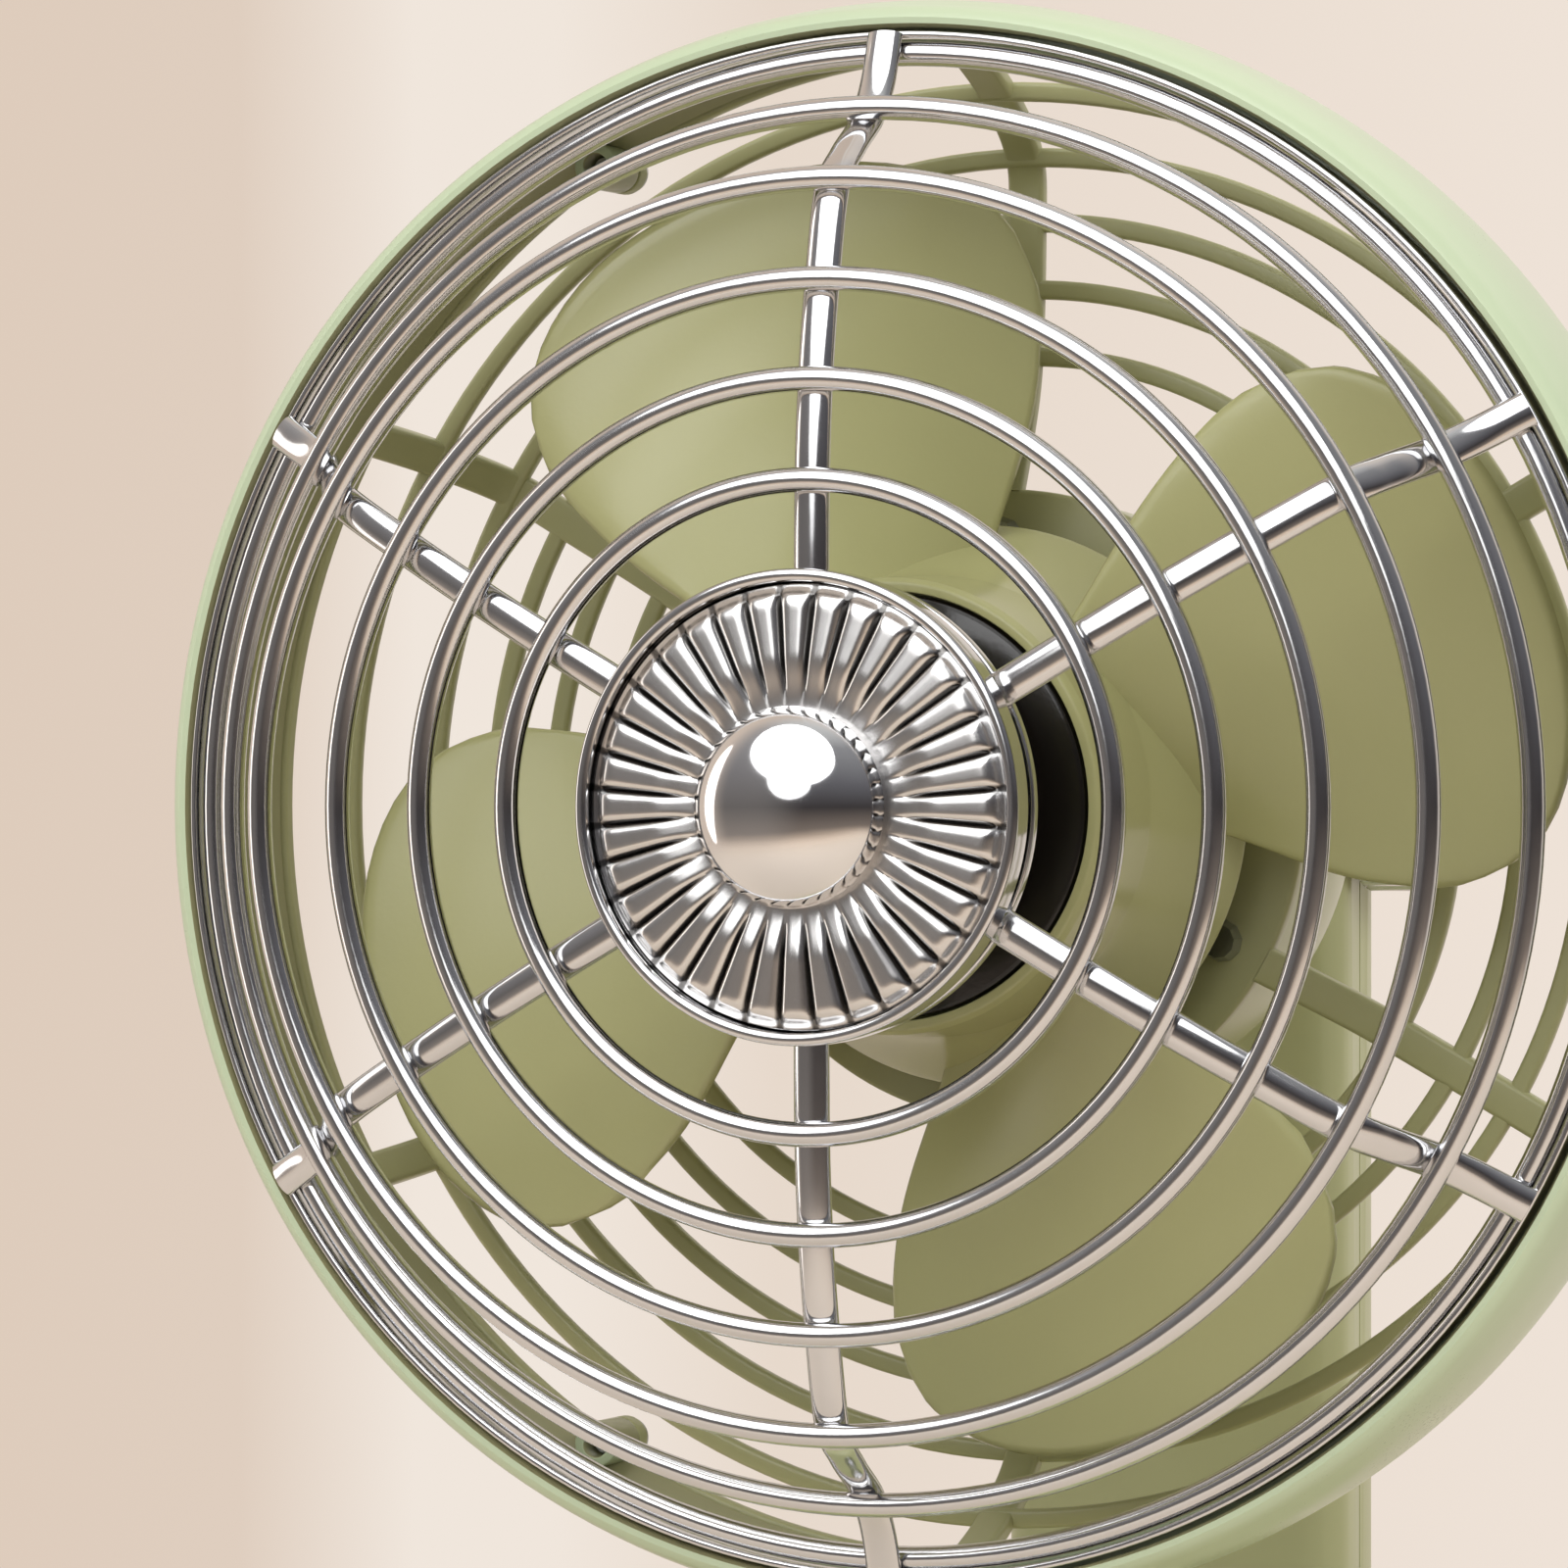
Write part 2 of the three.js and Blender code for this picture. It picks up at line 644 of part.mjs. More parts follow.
// Pod radius at a share of its length: nearly straight, then a rounded tail.
function podSection(share, wall) {
  return [(podRadius - wall) * Math.sqrt(1 - share ** 3.2), podFront + podLength * share];
}
const podSteps = 6;
const podOutline = [];
const podInside = [];
for (let step = 0; step <= podSteps; step += 1) {
  const share = Math.sin(Math.PI / 2 * step / podSteps);
  podOutline.push(podSection(share, 0));
  podInside.push(podSection(share * (1 - podWall / podLength), podWall));
}
podOutline[podSteps][0] = 0;
podInside.push([0, podInside[podSteps][1]]);
const podShell = turned([...podOutline.reverse(), ...podInside], 32);

const tongueRadius = tongueHeight / 2;
const tongueSpine = block(
  [-tongueWidth / 2, podBack - 5, -tongueRadius],
  [tongueWidth / 2, headReach, tongueRadius]);
const tongueEnd = crossBar(tongueRadius, -tongueWidth / 2, tongueWidth / 2).translate(0, headReach, 0);
const tongueBore = crossBar(tiltPinRadius + gap, -pillarWidth, pillarWidth).translate(0, headReach, 0);
const podBosses = podScrewAngles.map((angle) => (
  axial(podBossRadius, podFront, podFront + 12, podScrewCircle, angle, 16)));
const podHoles = podScrewAngles.map((angle) => (
  axial(screwRadius + gap, podFront - 1, podFront + 10, podScrewCircle, angle)));
const podBlank = join(podShell, tongueSpine, tongueEnd, ...podBosses);
addPiece(head, 'motor_pod', cut(podBlank, tongueBore, ...podHoles), green);
podScrewAngles.forEach((angle, i) => {
  addPiece(head, `pod_screw_${i + 1}`, axialScrew(discDepth, 10, -1, podScrewCircle, angle), steel);
});

// ---------------------------------------------------------------- tilt joint

const slotHalf = tongueWidth / 2 + washerThickness + 2 * gap;
const pillarHalf = pillarWidth / 2;
const atTiltAxis = (geometry) => geometry.translate(0, pillarSetback, fanHeight);

const pinHead = crossBar(tiltPinRadius + 2.6, -pillarHalf - gap - 2.6, -pillarHalf - gap);
const pinShank = crossBar(tiltPinRadius, -pillarHalf - gap - 1, pillarHalf + tiltKnobLength - 1);
addPiece(stand, 'tilt_pin', atTiltAxis(join(pinHead, pinShank)), steel);
for (const [name, side] of [['friction_washer_left', -1], ['friction_washer_right', 1]]) {
  const inner = tongueWidth / 2 + gap;
  const washer = turned(sleeve(tiltPinRadius + gap, washerRadius, inner, inner + washerThickness));
  addPiece(stand, name, atTiltAxis(washer.rotateZ(-side * Math.PI / 2)), steel);
}
const knobFace = pillarHalf + gap;
addPiece(stand, 'tilt_knob', atTiltAxis(turned([
  [tiltPinRadius + gap, knobFace],
  [tiltKnobRadius - 2, knobFace],
  [tiltKnobRadius, knobFace + 1.5],
  [tiltKnobRadius, knobFace + tiltKnobLength - 1],
  [tiltKnobRadius - 1.5, knobFace + tiltKnobLength + 0.6],
  [0, knobFace + tiltKnobLength + 1.2],
  [0, knobFace + tiltKnobLength - 1],
  [tiltPinRadius + gap, knobFace + tiltKnobLength - 1],
  [tiltPinRadius + gap, knobFace],
], 24).rotateZ(-Math.PI / 2)), chrome);

// ---------------------------------------------------------------- pillar

// Rounded rectangle in plan, centred on the origin.
function roundedRectangle(width, depth, corner) {
  const shape = new THREE.Shape();
  const x = width / 2 - corner;
  const y = depth / 2 - corner;
  shape.absarc(x, y, corner, 0, Math.PI / 2);
  shape.absarc(-x, y, corner, Math.PI / 2, Math.PI);
  shape.absarc(-x, -y, corner, Math.PI, 1.5 * Math.PI);
  shape.absarc(x, -y, corner, 1.5 * Math.PI, 2 * Math.PI);
  shape.closePath();
  return shape;
}

function slab(width, depth, corner, low, high) {
  const settings = { depth: high - low, bevelEnabled: false, curveSegments: 5 };
  return new THREE.ExtrudeGeometry(roundedRectangle(width, depth, corner), settings)
    .translate(0, pillarSetback, low);
}

const floorTop = footThickness + floorThickness;
const pillarTop = fanHeight + pillarDepth / 2;
const solidAbove = fanHeight - slotBelowAxis - 8;
const crown = atTiltAxis(crossBar(pillarDepth / 2, -pillarWidth, pillarWidth, 28));
const stem = block(
  [-pillarWidth, pillarSetback - pillarDepth, floorTop],
  [pillarWidth, pillarSetback + pillarDepth, fanHeight]);
const tiltSlot = block(
  [-slotHalf, pillarSetback - pillarDepth, fanHeight - slotBelowAxis],
  [slotHalf, pillarSetback + pillarDepth, pillarTop + 1]);
const pillarInside = slab(
  pillarWidth - 2 * pillarWall, pillarDepth - 2 * pillarWall, pillarCorner - pillarWall,
  floorTop + 6, solidAbove);
const pinBore = atTiltAxis(crossBar(tiltPinRadius + gap, -pillarWidth, pillarWidth));
const cableWay = block([-5, pillarSetback - 3, floorTop - 1], [5, pillarSetback + 3, floorTop + 8]);
const pillarBlank = cut(
  overlap(slab(pillarWidth, pillarDepth, pillarCorner, floorTop, pillarTop), join(crown, stem)),
  tiltSlot, pillarInside, pinBore, cableWay);

const pillarScrewX = 14;
const pillarScrewLength = floorThickness + 5;

// Screw from below with a flat head let into the floor plate.
function floorScrew(x, y, length) {
  return upright([
    [0, footThickness],
    [screwHeadRadius, footThickness],
    [screwRadius, footThickness + 1.4],
    [screwRadius, footThickness + length],
    [0, footThickness + length],
  ], 12).translate(x, y, 0);
}
function floorScrewHole(x, y, length) {
  return upright([
    [0, footThickness - 1],
    [screwHeadRadius + gap, footThickness - 1],
    [screwHeadRadius + gap, footThickness],
    [screwRadius + gap, footThickness + 1.4],
    [screwRadius + gap, footThickness + length + gap],
    [0, footThickness + length + gap],
  ], 12).translate(x, y, 0);
}
const pillarScrewPlaces = [
  [-pillarScrewX, pillarSetback - pillarDepth / 4],
  [pillarScrewX, pillarSetback + pillarDepth / 4],
];
const pillarScrewHoles = pillarScrewPlaces.map(([x, y]) => floorScrewHole(x, y, pillarScrewLength));
const rearHalf = block(
  [-pillarWidth, pillarSetback - gap / 2, 0],
  [pillarWidth, pillarSetback + pillarDepth, pillarTop + 1]);
const frontHalf = block(
  [-pillarWidth, pillarSetback - pillarDepth, 0],
  [pillarWidth, pillarSetback + gap / 2, pillarTop + 1]);
addPiece(stand, 'pillar_front_shell', cut(pillarBlank, rearHalf, ...pillarScrewHoles), green);
addPiece(stand, 'pillar_rear_shell', cut(pillarBlank, frontHalf, ...pillarScrewHoles), green);
pillarScrewPlaces.forEach(([x, y], i) => {
  addPiece(stand, `pillar_screw_${i + 1}`, floorScrew(x, y, pillarScrewLength), steel);
});

// ---------------------------------------------------------------- base

// Outline of the base in section: flat top, quarter-round shoulder, straight side.
function baseSection(inset, bottom) {
  const radius = baseShoulder - inset;
  const profile = [[0, baseTop - inset]];
  for (let step = 0; step <= 4; step += 1) {
    const angle = Math.PI / 2 * step / 4;
    profile.push([
      baseRadius - baseShoulder + radius * Math.sin(angle),
      baseTop - baseShoulder + radius * Math.cos(angle),
    ]);
  }
  profile.push([baseRadius - inset, bottom], [0, bottom]);
  return upright(profile, roundSides);
}

const floorRadius = baseRadius - baseWall - gap;
const inTop = baseTop - baseWall;
const basePostPlaces = [];
for (let i = 0; i < basePostCount; i += 1) {
  const angle = Math.PI * (2 * i / basePostCount - 0.5);
  basePostPlaces.push([basePostCircle * Math.cos(angle), basePostCircle * Math.sin(angle)]);
}
const postScrewLength = floorThickness + 7;
const basePosts = basePostPlaces.map(([x, y]) => (
  upright(bar(basePostRadius, floorTop + gap, inTop + 1), 16).translate(x, y, 0)));
const basePostHoles = basePostPlaces.map(([x, y]) => floorScrewHole(x, y, postScrewLength));
const socketLow = floorTop + slack;
const socketMiddle = socketLow + socketHeight / 2;
const socketFront = baseRadius - socketDepth;
const socketOpening = block(
  [-socketWidth / 2 - gap, socketFront, socketLow - gap],
  [socketWidth / 2 + gap, baseRadius + 5, socketLow + socketHeight + gap]);
const pillarOpening = slab(
  pillarWidth + 2 * gap, pillarDepth + 2 * gap, pillarCorner + gap, floorTop, baseTop + 1);
const bushHole = upright(bar(bushRadius + gap, inTop - 1, baseTop + 1), 24).translate(0, speedKnobY, 0);
const lampHole = upright(bar(lampRadius + gap, inTop - 1, baseTop + 1), 16)
  .translate(lampSide, speedKnobY, 0);
const baseHollow = baseSection(baseWall, footThickness - 1);
const baseShell = join(cut(baseSection(0, footThickness + 0.6), baseHollow), ...basePosts);
addPiece(stand, 'base_shell',
  cut(baseShell, pillarOpening, socketOpening, bushHole, lampHole, ...basePostHoles), green);

addPiece(stand, 'foot_pad', upright(bar(footRadius, 0, footThickness), roundSides), rubber);

const boardReach = baseRadius - baseWall - boardToWall;
const boardX = boardWidth / 2 - Math.sqrt(boardReach ** 2 - (boardLength / 2) ** 2);
const standoffPlaces = [[-1, -1], [-1, 1], [1, -1], [1, 1]].map(([i, j]) => (
  [boardX + i * (boardWidth / 2 - 3), j * (boardLength / 2 - 3)]));
const standoffs = standoffPlaces.map(([x, y]) => (
  upright(bar(standoffRadius, floorTop - 1, floorTop + standoffHeight), 12).translate(x, y, 0)));
const floorHoles = [
  ...pillarScrewHoles,
  ...basePostHoles,
];
const floorPlate = join(upright(bar(floorRadius, footThickness, floorTop), roundSides), ...standoffs);
addPiece(stand, 'base_floor', cut(floorPlate, ...floorHoles), steel);
basePostPlaces.forEach(([x, y], i) => {
  addPiece(stand, `base_screw_${i + 1}`, floorScrew(x, y, postScrewLength), steel);
});
addPiece(stand, 'ballast', upright(bar(ballastRadius, floorTop, floorTop + ballastThickness), 32), iron);

const boardLow = floorTop + standoffHeight;
addPiece(stand, 'circuit_board', block(
  [boardX - boardWidth / 2, -boardLength / 2, boardLow],
  [boardX + boardWidth / 2, boardLength / 2, boardLow + boardThickness]), boardGreen);

const portMouth = block(
  [-portWidth / 2, baseRadius - portDepth, socketMiddle - portHeight / 2],
  [portWidth / 2, baseRadius + 1, socketMiddle + portHeight / 2]);
const socketBody = block(
  [-socketWidth / 2, socketFront + gap, socketLow],
  [socketWidth / 2, baseRadius - 0.4, socketLow + socketHeight]);
addPiece(stand, 'power_socket', cut(socketBody, portMouth), blackPlastic);

// ---------------------------------------------------------------- speed control

const atKnob = (geometry) => geometry.translate(0, speedKnobY, 0);
const dialTop = baseTop + slack + dialThickness;
const nutTop = baseTop + slack + 1.8;
const bushTop = nutTop + 0.6;
const switchTop = inTop - slack;
const switchBlock = block(
  [-switchSize / 2, -switchSize / 2, switchTop - switchHeight],
  [switchSize / 2, switchSize / 2, switchTop]);
const bush = upright(bar(bushRadius, switchTop - 1, bushTop));
const shaftWell = upright(bar(speedShaftRadius + gap, switchTop - 5, bushTop + 1), 16);
addPiece(stand, 'speed_switch', atKnob(cut(join(switchBlock, bush), shaftWell)), blackPlastic);
const switchNut = hexNut(bushRadius + gap, bushNutRadius, baseTop + slack, nutTop).rotateX(Math.PI / 2);
addPiece(stand, 'switch_nut', atKnob(switchNut), steel);
addPiece(stand, 'dial_ring', atKnob(upright(closed([
  [speedKnobRadius - 3, baseTop + slack],
  [dialRadius, baseTop + slack],
  [dialRadius - 0.5, dialTop],
  [speedKnobRadius - 3, dialTop],
]))), chrome);

const knobLow = dialTop + gap * 2;
const knobTop = knobLow + speedKnobHeight;
const knobBlank = upright([
  [0, knobLow + 3.4],
  [bushNutRadius + 1, knobLow + 3.4],
  [bushNutRadius + 1, knobLow],
  [speedKnobRadius, knobLow],
  [speedKnobRadius, knobLow + 1.2],
  [speedKnobRadius - 1, knobTop - 1.4],
  [speedKnobRadius - 2.4, knobTop],
  [0, knobTop - 0.6],
], 32);
const knobWell = upright(bar(speedShaftRadius + gap, knobLow - 1, knobTop - 2.4), 16);
addPiece(stand, 'speed_knob', atKnob(cut(knobBlank, knobWell)), chrome);
addPiece(stand, 'speed_shaft', atKnob(upright(bar(
  speedShaftRadius, switchTop - 5 + gap, knobTop - 2.4 - gap), 16)), steel);
addPiece(stand, 'indicator_lamp', upright([
  [0, inTop - 2],
  [lampRadius + 1, inTop - 2],
  [lampRadius + 1, inTop - slack],
  [lampRadius, inTop - slack],
  [lampRadius, baseTop + 0.2],
  [lampRadius * 0.6, baseTop + 0.7],
  [0, baseTop + 0.9],
], 16).translate(lampSide, speedKnobY, 0), lampWhite);

export default fan;
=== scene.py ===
# Desk fan: a chrome wire guard with a fluted badge, a round green head that tilts on a slab pillar,
# and a round weighted base with a speed knob. Sizes are in millimetres and meshes are in metres.
import math

import bmesh
import bpy
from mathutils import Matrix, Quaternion, Vector


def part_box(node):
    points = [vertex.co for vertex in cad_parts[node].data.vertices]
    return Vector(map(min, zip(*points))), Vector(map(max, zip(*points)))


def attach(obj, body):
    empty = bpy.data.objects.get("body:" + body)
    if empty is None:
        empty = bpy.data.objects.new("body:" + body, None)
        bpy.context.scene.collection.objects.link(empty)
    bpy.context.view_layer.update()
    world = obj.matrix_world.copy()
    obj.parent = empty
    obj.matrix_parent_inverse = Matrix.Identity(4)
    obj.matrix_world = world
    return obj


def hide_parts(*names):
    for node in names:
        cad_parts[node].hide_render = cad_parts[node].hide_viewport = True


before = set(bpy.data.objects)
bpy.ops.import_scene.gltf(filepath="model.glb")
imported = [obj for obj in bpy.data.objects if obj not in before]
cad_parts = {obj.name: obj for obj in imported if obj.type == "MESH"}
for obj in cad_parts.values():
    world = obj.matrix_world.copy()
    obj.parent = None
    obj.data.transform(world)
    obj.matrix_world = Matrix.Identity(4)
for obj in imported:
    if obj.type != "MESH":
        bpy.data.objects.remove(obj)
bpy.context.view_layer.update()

# ---- Camera, background and lamps ----
# A long lens looks at the head from the fan's right, level with the fan axis. One large softbox
# hangs above and in front, smaller ones fill in, and the chrome mirrors a room that runs from
# light to dark and back with height.
MM = 0.001
ring_low, ring_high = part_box("head_ring")
AXIS_HEIGHT = (ring_low[2] + ring_high[2]) / 2 / MM
LIP_STANDS_PROUD = 0.9
RIM_PLANE = ring_low[1] / MM + LIP_STANDS_PROUD
VIEW_AZIMUTH, VIEW_ELEVATION, VIEW_DISTANCE = 21.4, 0.2, 0.85
scene = bpy.context.scene


def heading(azimuth, elevation):
    """Direction from the fan towards a compass angle and a height; azimuth 0 is in front of the fan."""
    turn, rise = math.radians(azimuth), math.radians(elevation)
    return Vector((math.sin(turn) * math.cos(rise), -math.cos(turn) * math.cos(rise), math.sin(rise)))


fan_middle = Vector((0, RIM_PLANE, AXIS_HEIGHT)) * MM
camera = bpy.data.objects.new("camera", bpy.data.cameras.new("camera"))
scene.collection.objects.link(camera)
camera.data.lens = 171.3
camera.data.sensor_width = 36
camera.data.shift_x = -0.0671
camera.data.shift_y = 0.0143
camera.data.clip_start = 0.05
camera.location = fan_middle + heading(VIEW_AZIMUTH, VIEW_ELEVATION) * VIEW_DISTANCE
camera.rotation_mode = "QUATERNION"
camera.rotation_quaternion = (-heading(VIEW_AZIMUTH, VIEW_ELEVATION)).to_track_quat("-Z", "Y")
scene.camera = camera
scene.view_settings.view_transform = "Standard"


class Socket:
    """One output of a node. Sums and products of sockets add the Math nodes that work them out."""

    def __init__(self, tree, plug=None):
        self.tree = tree
        self.plug = plug

    def node(self, kind, settings=None, sockets=None, give=0):
        """Adds a node: settings first, then a value, a link or a list of links for each socket."""
        node = self.tree.nodes.new(kind)
        for name, value in (settings or {}).items():
            if name == "stops":
                stops = node.color_ramp.elements
                while len(stops) < len(value):
                    stops.new(1)
                for stop, (place, shade) in zip(stops, value):
                    stop.position = place
                    stop.color = shade
            else:
                setattr(node, name, value)
        for name, value in (sockets or {}).items():
            for part in value if isinstance(value, list) else [value]:
                if isinstance(part, Socket):
                    self.tree.links.new(part.plug, node.inputs[name])
                else:
                    node.inputs[name].default_value = part
        return Socket(self.tree, node.outputs[give] if len(node.outputs) else None)

    def maths(self, operation, *terms):
        return self.node("ShaderNodeMath", {"operation": operation}, dict(enumerate(terms)))

    def mixed(self, share, first, second):
        """A colour that goes from the first to the second as the share goes from 0 to 1."""
        return self.node("ShaderNodeMix", {"data_type": "RGBA"}, {0: share, 6: first, 7: second}, give=2)

    def eased(self, value, start, end, top=1.0):
        """Goes smoothly from 0 to top as the value goes from start to end."""
        return self.node("ShaderNodeMapRange", {"interpolation_type": "SMOOTHSTEP"}, {
            "Value": value, "From Min": start, "From Max": end, "To Max": top})

    def dot(self, first, second):
        return self.node("ShaderNodeVectorMath", {"operation": "DOT_PRODUCT"}, {
            0: first, 1: second}, give="Value")

    def __add__(self, other):
        return self.maths("ADD", self, other)

    def __sub__(self, other):
        return self.maths("SUBTRACT", self, other)

    def __rsub__(self, other):
        return self.maths("SUBTRACT", other, self)

    def __mul__(self, other):
        return self.maths("MULTIPLY", self, other)

    def __truediv__(self, other):
        return self.maths("DIVIDE", self, other)

    __radd__ = __add__
    __rmul__ = __mul__


def colour(red, green, blue):
    """A paint colour as scene-linear numbers, from the 0 to 255 values of a colour chart."""
    parts = [part / 255 for part in (red, green, blue)]
    return (*[part / 12.92 if part <= 0.04045 else ((part + 0.055) / 1.055) ** 2.4 for part in parts], 1)


world = bpy.data.worlds.new("studio")
world.use_nodes = True
world.node_tree.nodes.clear()
scene.world = world
sky = Socket(world.node_tree)
camera_ray, glossy_ray, clear_ray = [
    sky.node("ShaderNodeLightPath", give=f"Is {ray} Ray") for ray in ("Camera", "Glossy", "Transmission")]
room_light = sky.node("ShaderNodeBackground", sockets={"Color": (0.96, 0.97, 1.0, 1), "Strength": 0.5})
facing = sky.node("ShaderNodeTexCoord", give="Generated")
sideways = sky.dot(facing, tuple(heading(VIEW_AZIMUTH + 90, 0)))
WALL_LEFT, WALL_SPAN = -0.12, 0.21
# The backdrop runs in soft vertical bands: darker at the left, then a pale band of painted light, then an
# even beige.
wall = sky.node("ShaderNodeValToRGB", {"stops": [
    (0, colour(222, 204, 188)), (0.16, colour(223, 206, 191)), (0.27, colour(240, 230, 220)),
    (0.36, colour(240, 230, 220)), (0.5, colour(231, 217, 204)), (1, colour(238, 226, 215))]}, {
        "Fac": (sideways - WALL_LEFT) / WALL_SPAN})
paper = sky.node("ShaderNodeBackground", sockets={"Color": wall, "Strength": 1})
in_front = sky.eased(sky.dot(facing, tuple(heading(VIEW_AZIMUTH, 0))), -0.35, 0.25)
upward = sky.node("ShaderNodeSeparateXYZ", sockets={"Vector": facing}, give=2)
room = sky.node("ShaderNodeValToRGB", {"stops": [
    (0, colour(206, 188, 172)), (0.2, colour(250, 230, 208)), (0.29, colour(244, 218, 192)),
    (0.37, colour(128, 116, 107)), (0.5, colour(64, 60, 60)), (0.66, colour(104, 103, 107)),
    (0.9, colour(150, 150, 152)), (1, colour(215, 215, 213))]}, {"Fac": 0.5 * upward + 0.5})
side_room = sky.mixed(sky.eased(sideways, -0.3, -0.8, 0.25), room, colour(186, 179, 173))
mirrored_room = sky.node("ShaderNodeBackground", sockets={
    "Color": sky.mixed(in_front, wall, side_room), "Strength": 1})
lit = sky.node("ShaderNodeMixShader", sockets={0: glossy_ray, 1: room_light, 2: mirrored_room})
shown = sky.maths("MAXIMUM", camera_ray, clear_ray)
sky.node("ShaderNodeOutputWorld", sockets={"Surface": sky.node(
    "ShaderNodeMixShader", sockets={0: shown, 1: lit, 2: paper})})


def softbox(name, azimuth, elevation, distance, width, height, watts, tint=(1, 1, 1), mirrored=True):
    """An oval lamp that faces the head; the chrome shows it only if it is mirrored."""
    lamp = bpy.data.lights.new(name, "AREA")
    lamp.shape = "ELLIPSE"
    lamp.size = width
    lamp.size_y = height
    lamp.energy = watts
    lamp.color = tint
    holder = bpy.data.objects.new(name, lamp)
    holder.visible_glossy = mirrored
    direction = heading(azimuth, elevation)
    holder.location = fan_middle + direction * distance
    holder.rotation_mode = "QUATERNION"
    holder.rotation_quaternion = (-direction).to_track_quat("-Z", "Y")
    scene.collection.objects.link(holder)


softbox("softbox_above", -6, 44, 1.1, 1.4, 1.3, 10.5)
softbox("softbox_front", -8, 17, 1.15, 0.62, 0.5, 1.3)
softbox("softbox_right", 66, 26, 1.1, 0.5, 0.5, 3.5, mirrored=False)
softbox("softbox_left", -76, 8, 1.0, 0.3, 1.0, 1.2, (1, 0.96, 0.92))
softbox("softbox_behind", 160, 45, 1.2, 0.9, 0.6, 5, mirrored=False)

# ---- Floor ----
# The table under the fan is a plain pale disc whose edge fades into the background, so that no
# horizon shows. It keeps the shadow of the base.
FLOOR_RADIUS = 0.56
FADE_RADIUS = 0.24
FLOOR_SIDES = 96


def arc(radius, first, last, steps, middle=(0, 0)):
    """Points from one angle to another round a middle."""
    return [(middle[0] + radius * math.cos(first + (last - first) * i / steps),
             middle[1] + radius * math.sin(first + (last - first) * i / steps)) for i in range(steps + 1)]


def full_circle(radius, steps, middle=(0, 0)):
    return arc(radius, 0, math.tau, steps, middle)[:-1]


def fresh_material(name):
    """An empty material, the maker of its nodes, and the place on the piece that patterns follow."""
    material = bpy.data.materials.new(name)
    material.use_nodes = True
    material.node_tree.nodes.clear()
    make = Socket(material.node_tree)
    return material, make, make.node("ShaderNodeTexCoord", give="Object")


floor_mesh = bpy.data.meshes.new("floor")
floor_edge = [(x, y, 0) for x, y in full_circle(FLOOR_RADIUS, FLOOR_SIDES)]
floor_mesh.from_pydata(floor_edge, [], [tuple(range(FLOOR_SIDES))])
floor_material, make, place = fresh_material("floor")
from_middle = make.node("ShaderNodeVectorMath", {"operation": "LENGTH"}, {0: place}, give="Value")
paint = make.node("ShaderNodeBsdfPrincipled", sockets={
    "Base Color": colour(214, 199, 183), "Roughness": 0.7})
make.node("ShaderNodeOutputMaterial", sockets={"Surface": make.node("ShaderNodeMixShader", sockets={
    0: make.eased(from_middle, FADE_RADIUS, FLOOR_RADIUS - 0.01), 1: paint,
    2: make.node("ShaderNodeBsdfTransparent")})})
floor_mesh.materials.append(floor_material)
floor = bpy.data.objects.new("floor", floor_mesh)
scene.collection.objects.link(floor)

# ---- Head shell ----
# The round housing is moulded in one piece and sprayed with a satin green lacquer. A narrow lip
# holds the chrome guard at the front, and three bosses at the back take the rear grille's screws.


def on_fan(radius, depth, turn):
    """A point measured from the fan axis: depth is behind the rim plane, turn is from the top."""
    return Vector((radius * math.sin(turn), RIM_PLANE + depth, AXIS_HEIGHT + radius * math.cos(turn))) * MM


def outward(mesh):
    """Turns every face of a closed mesh outwards, after points that coincide are merged."""
    shell = bmesh.new()
    shell.from_mesh(mesh)
    bmesh.ops.remove_doubles(shell, verts=shell.verts, dist=2e-6)
    bmesh.ops.recalc_face_normals(shell, faces=shell.faces)
    shell.to_mesh(mesh)
    shell.free()


def dressed(name, mesh, material, crease=32):
    """An object for a mesh, smooth except where faces meet at more than the crease angle."""
    mesh.materials.clear()
    mesh.materials.append(material)
    mesh.shade_smooth()
    mesh.set_sharp_from_angle(angle=math.radians(crease))
    piece = bpy.data.objects.new(name, mesh)
    scene.collection.objects.link(piece)
    return piece


def part(name, points, faces, material, crease=32):
    """A piece at the origin, from points in metres."""
    mesh = bpy.data.meshes.new(name)
    mesh.from_pydata(points, [], faces)
    outward(mesh)
    return dressed(name, mesh, material, crease)


NEARLY_STRAIGHT = math.radians(88)


def softened(outline, radius, steps=4):
    """The outline with its corners rounded; an entry may carry its own radius as a third number."""
    result = []
    count = len(outline)
    for i, entry in enumerate(outline):
        corner = Vector(entry[:2])
        before, after = Vector(outline[i - 1][:2]), Vector(outline[(i + 1) % count][:2])
        wanted = entry[2] if len(entry) > 2 else radius
        back, ahead = before - corner, after - corner
        too_short = back.length < 1e-6 or ahead.length < 1e-6
        if wanted <= 0 or too_short or back.angle(ahead) / 2 > NEARLY_STRAIGHT:
            result.append(tuple(corner))
            continue
        reach = min(wanted / math.tan(back.angle(ahead) / 2), back.length * 0.48, ahead.length * 0.48)
        start, end = corner + back.normalized() * reach, corner + ahead.normalized() * reach
        for step in range(steps + 1):
            share = step / steps
            point = (1 - share) ** 2 * start + 2 * share * (1 - share) * corner + share ** 2 * end
            result.append(tuple(point))
    return result


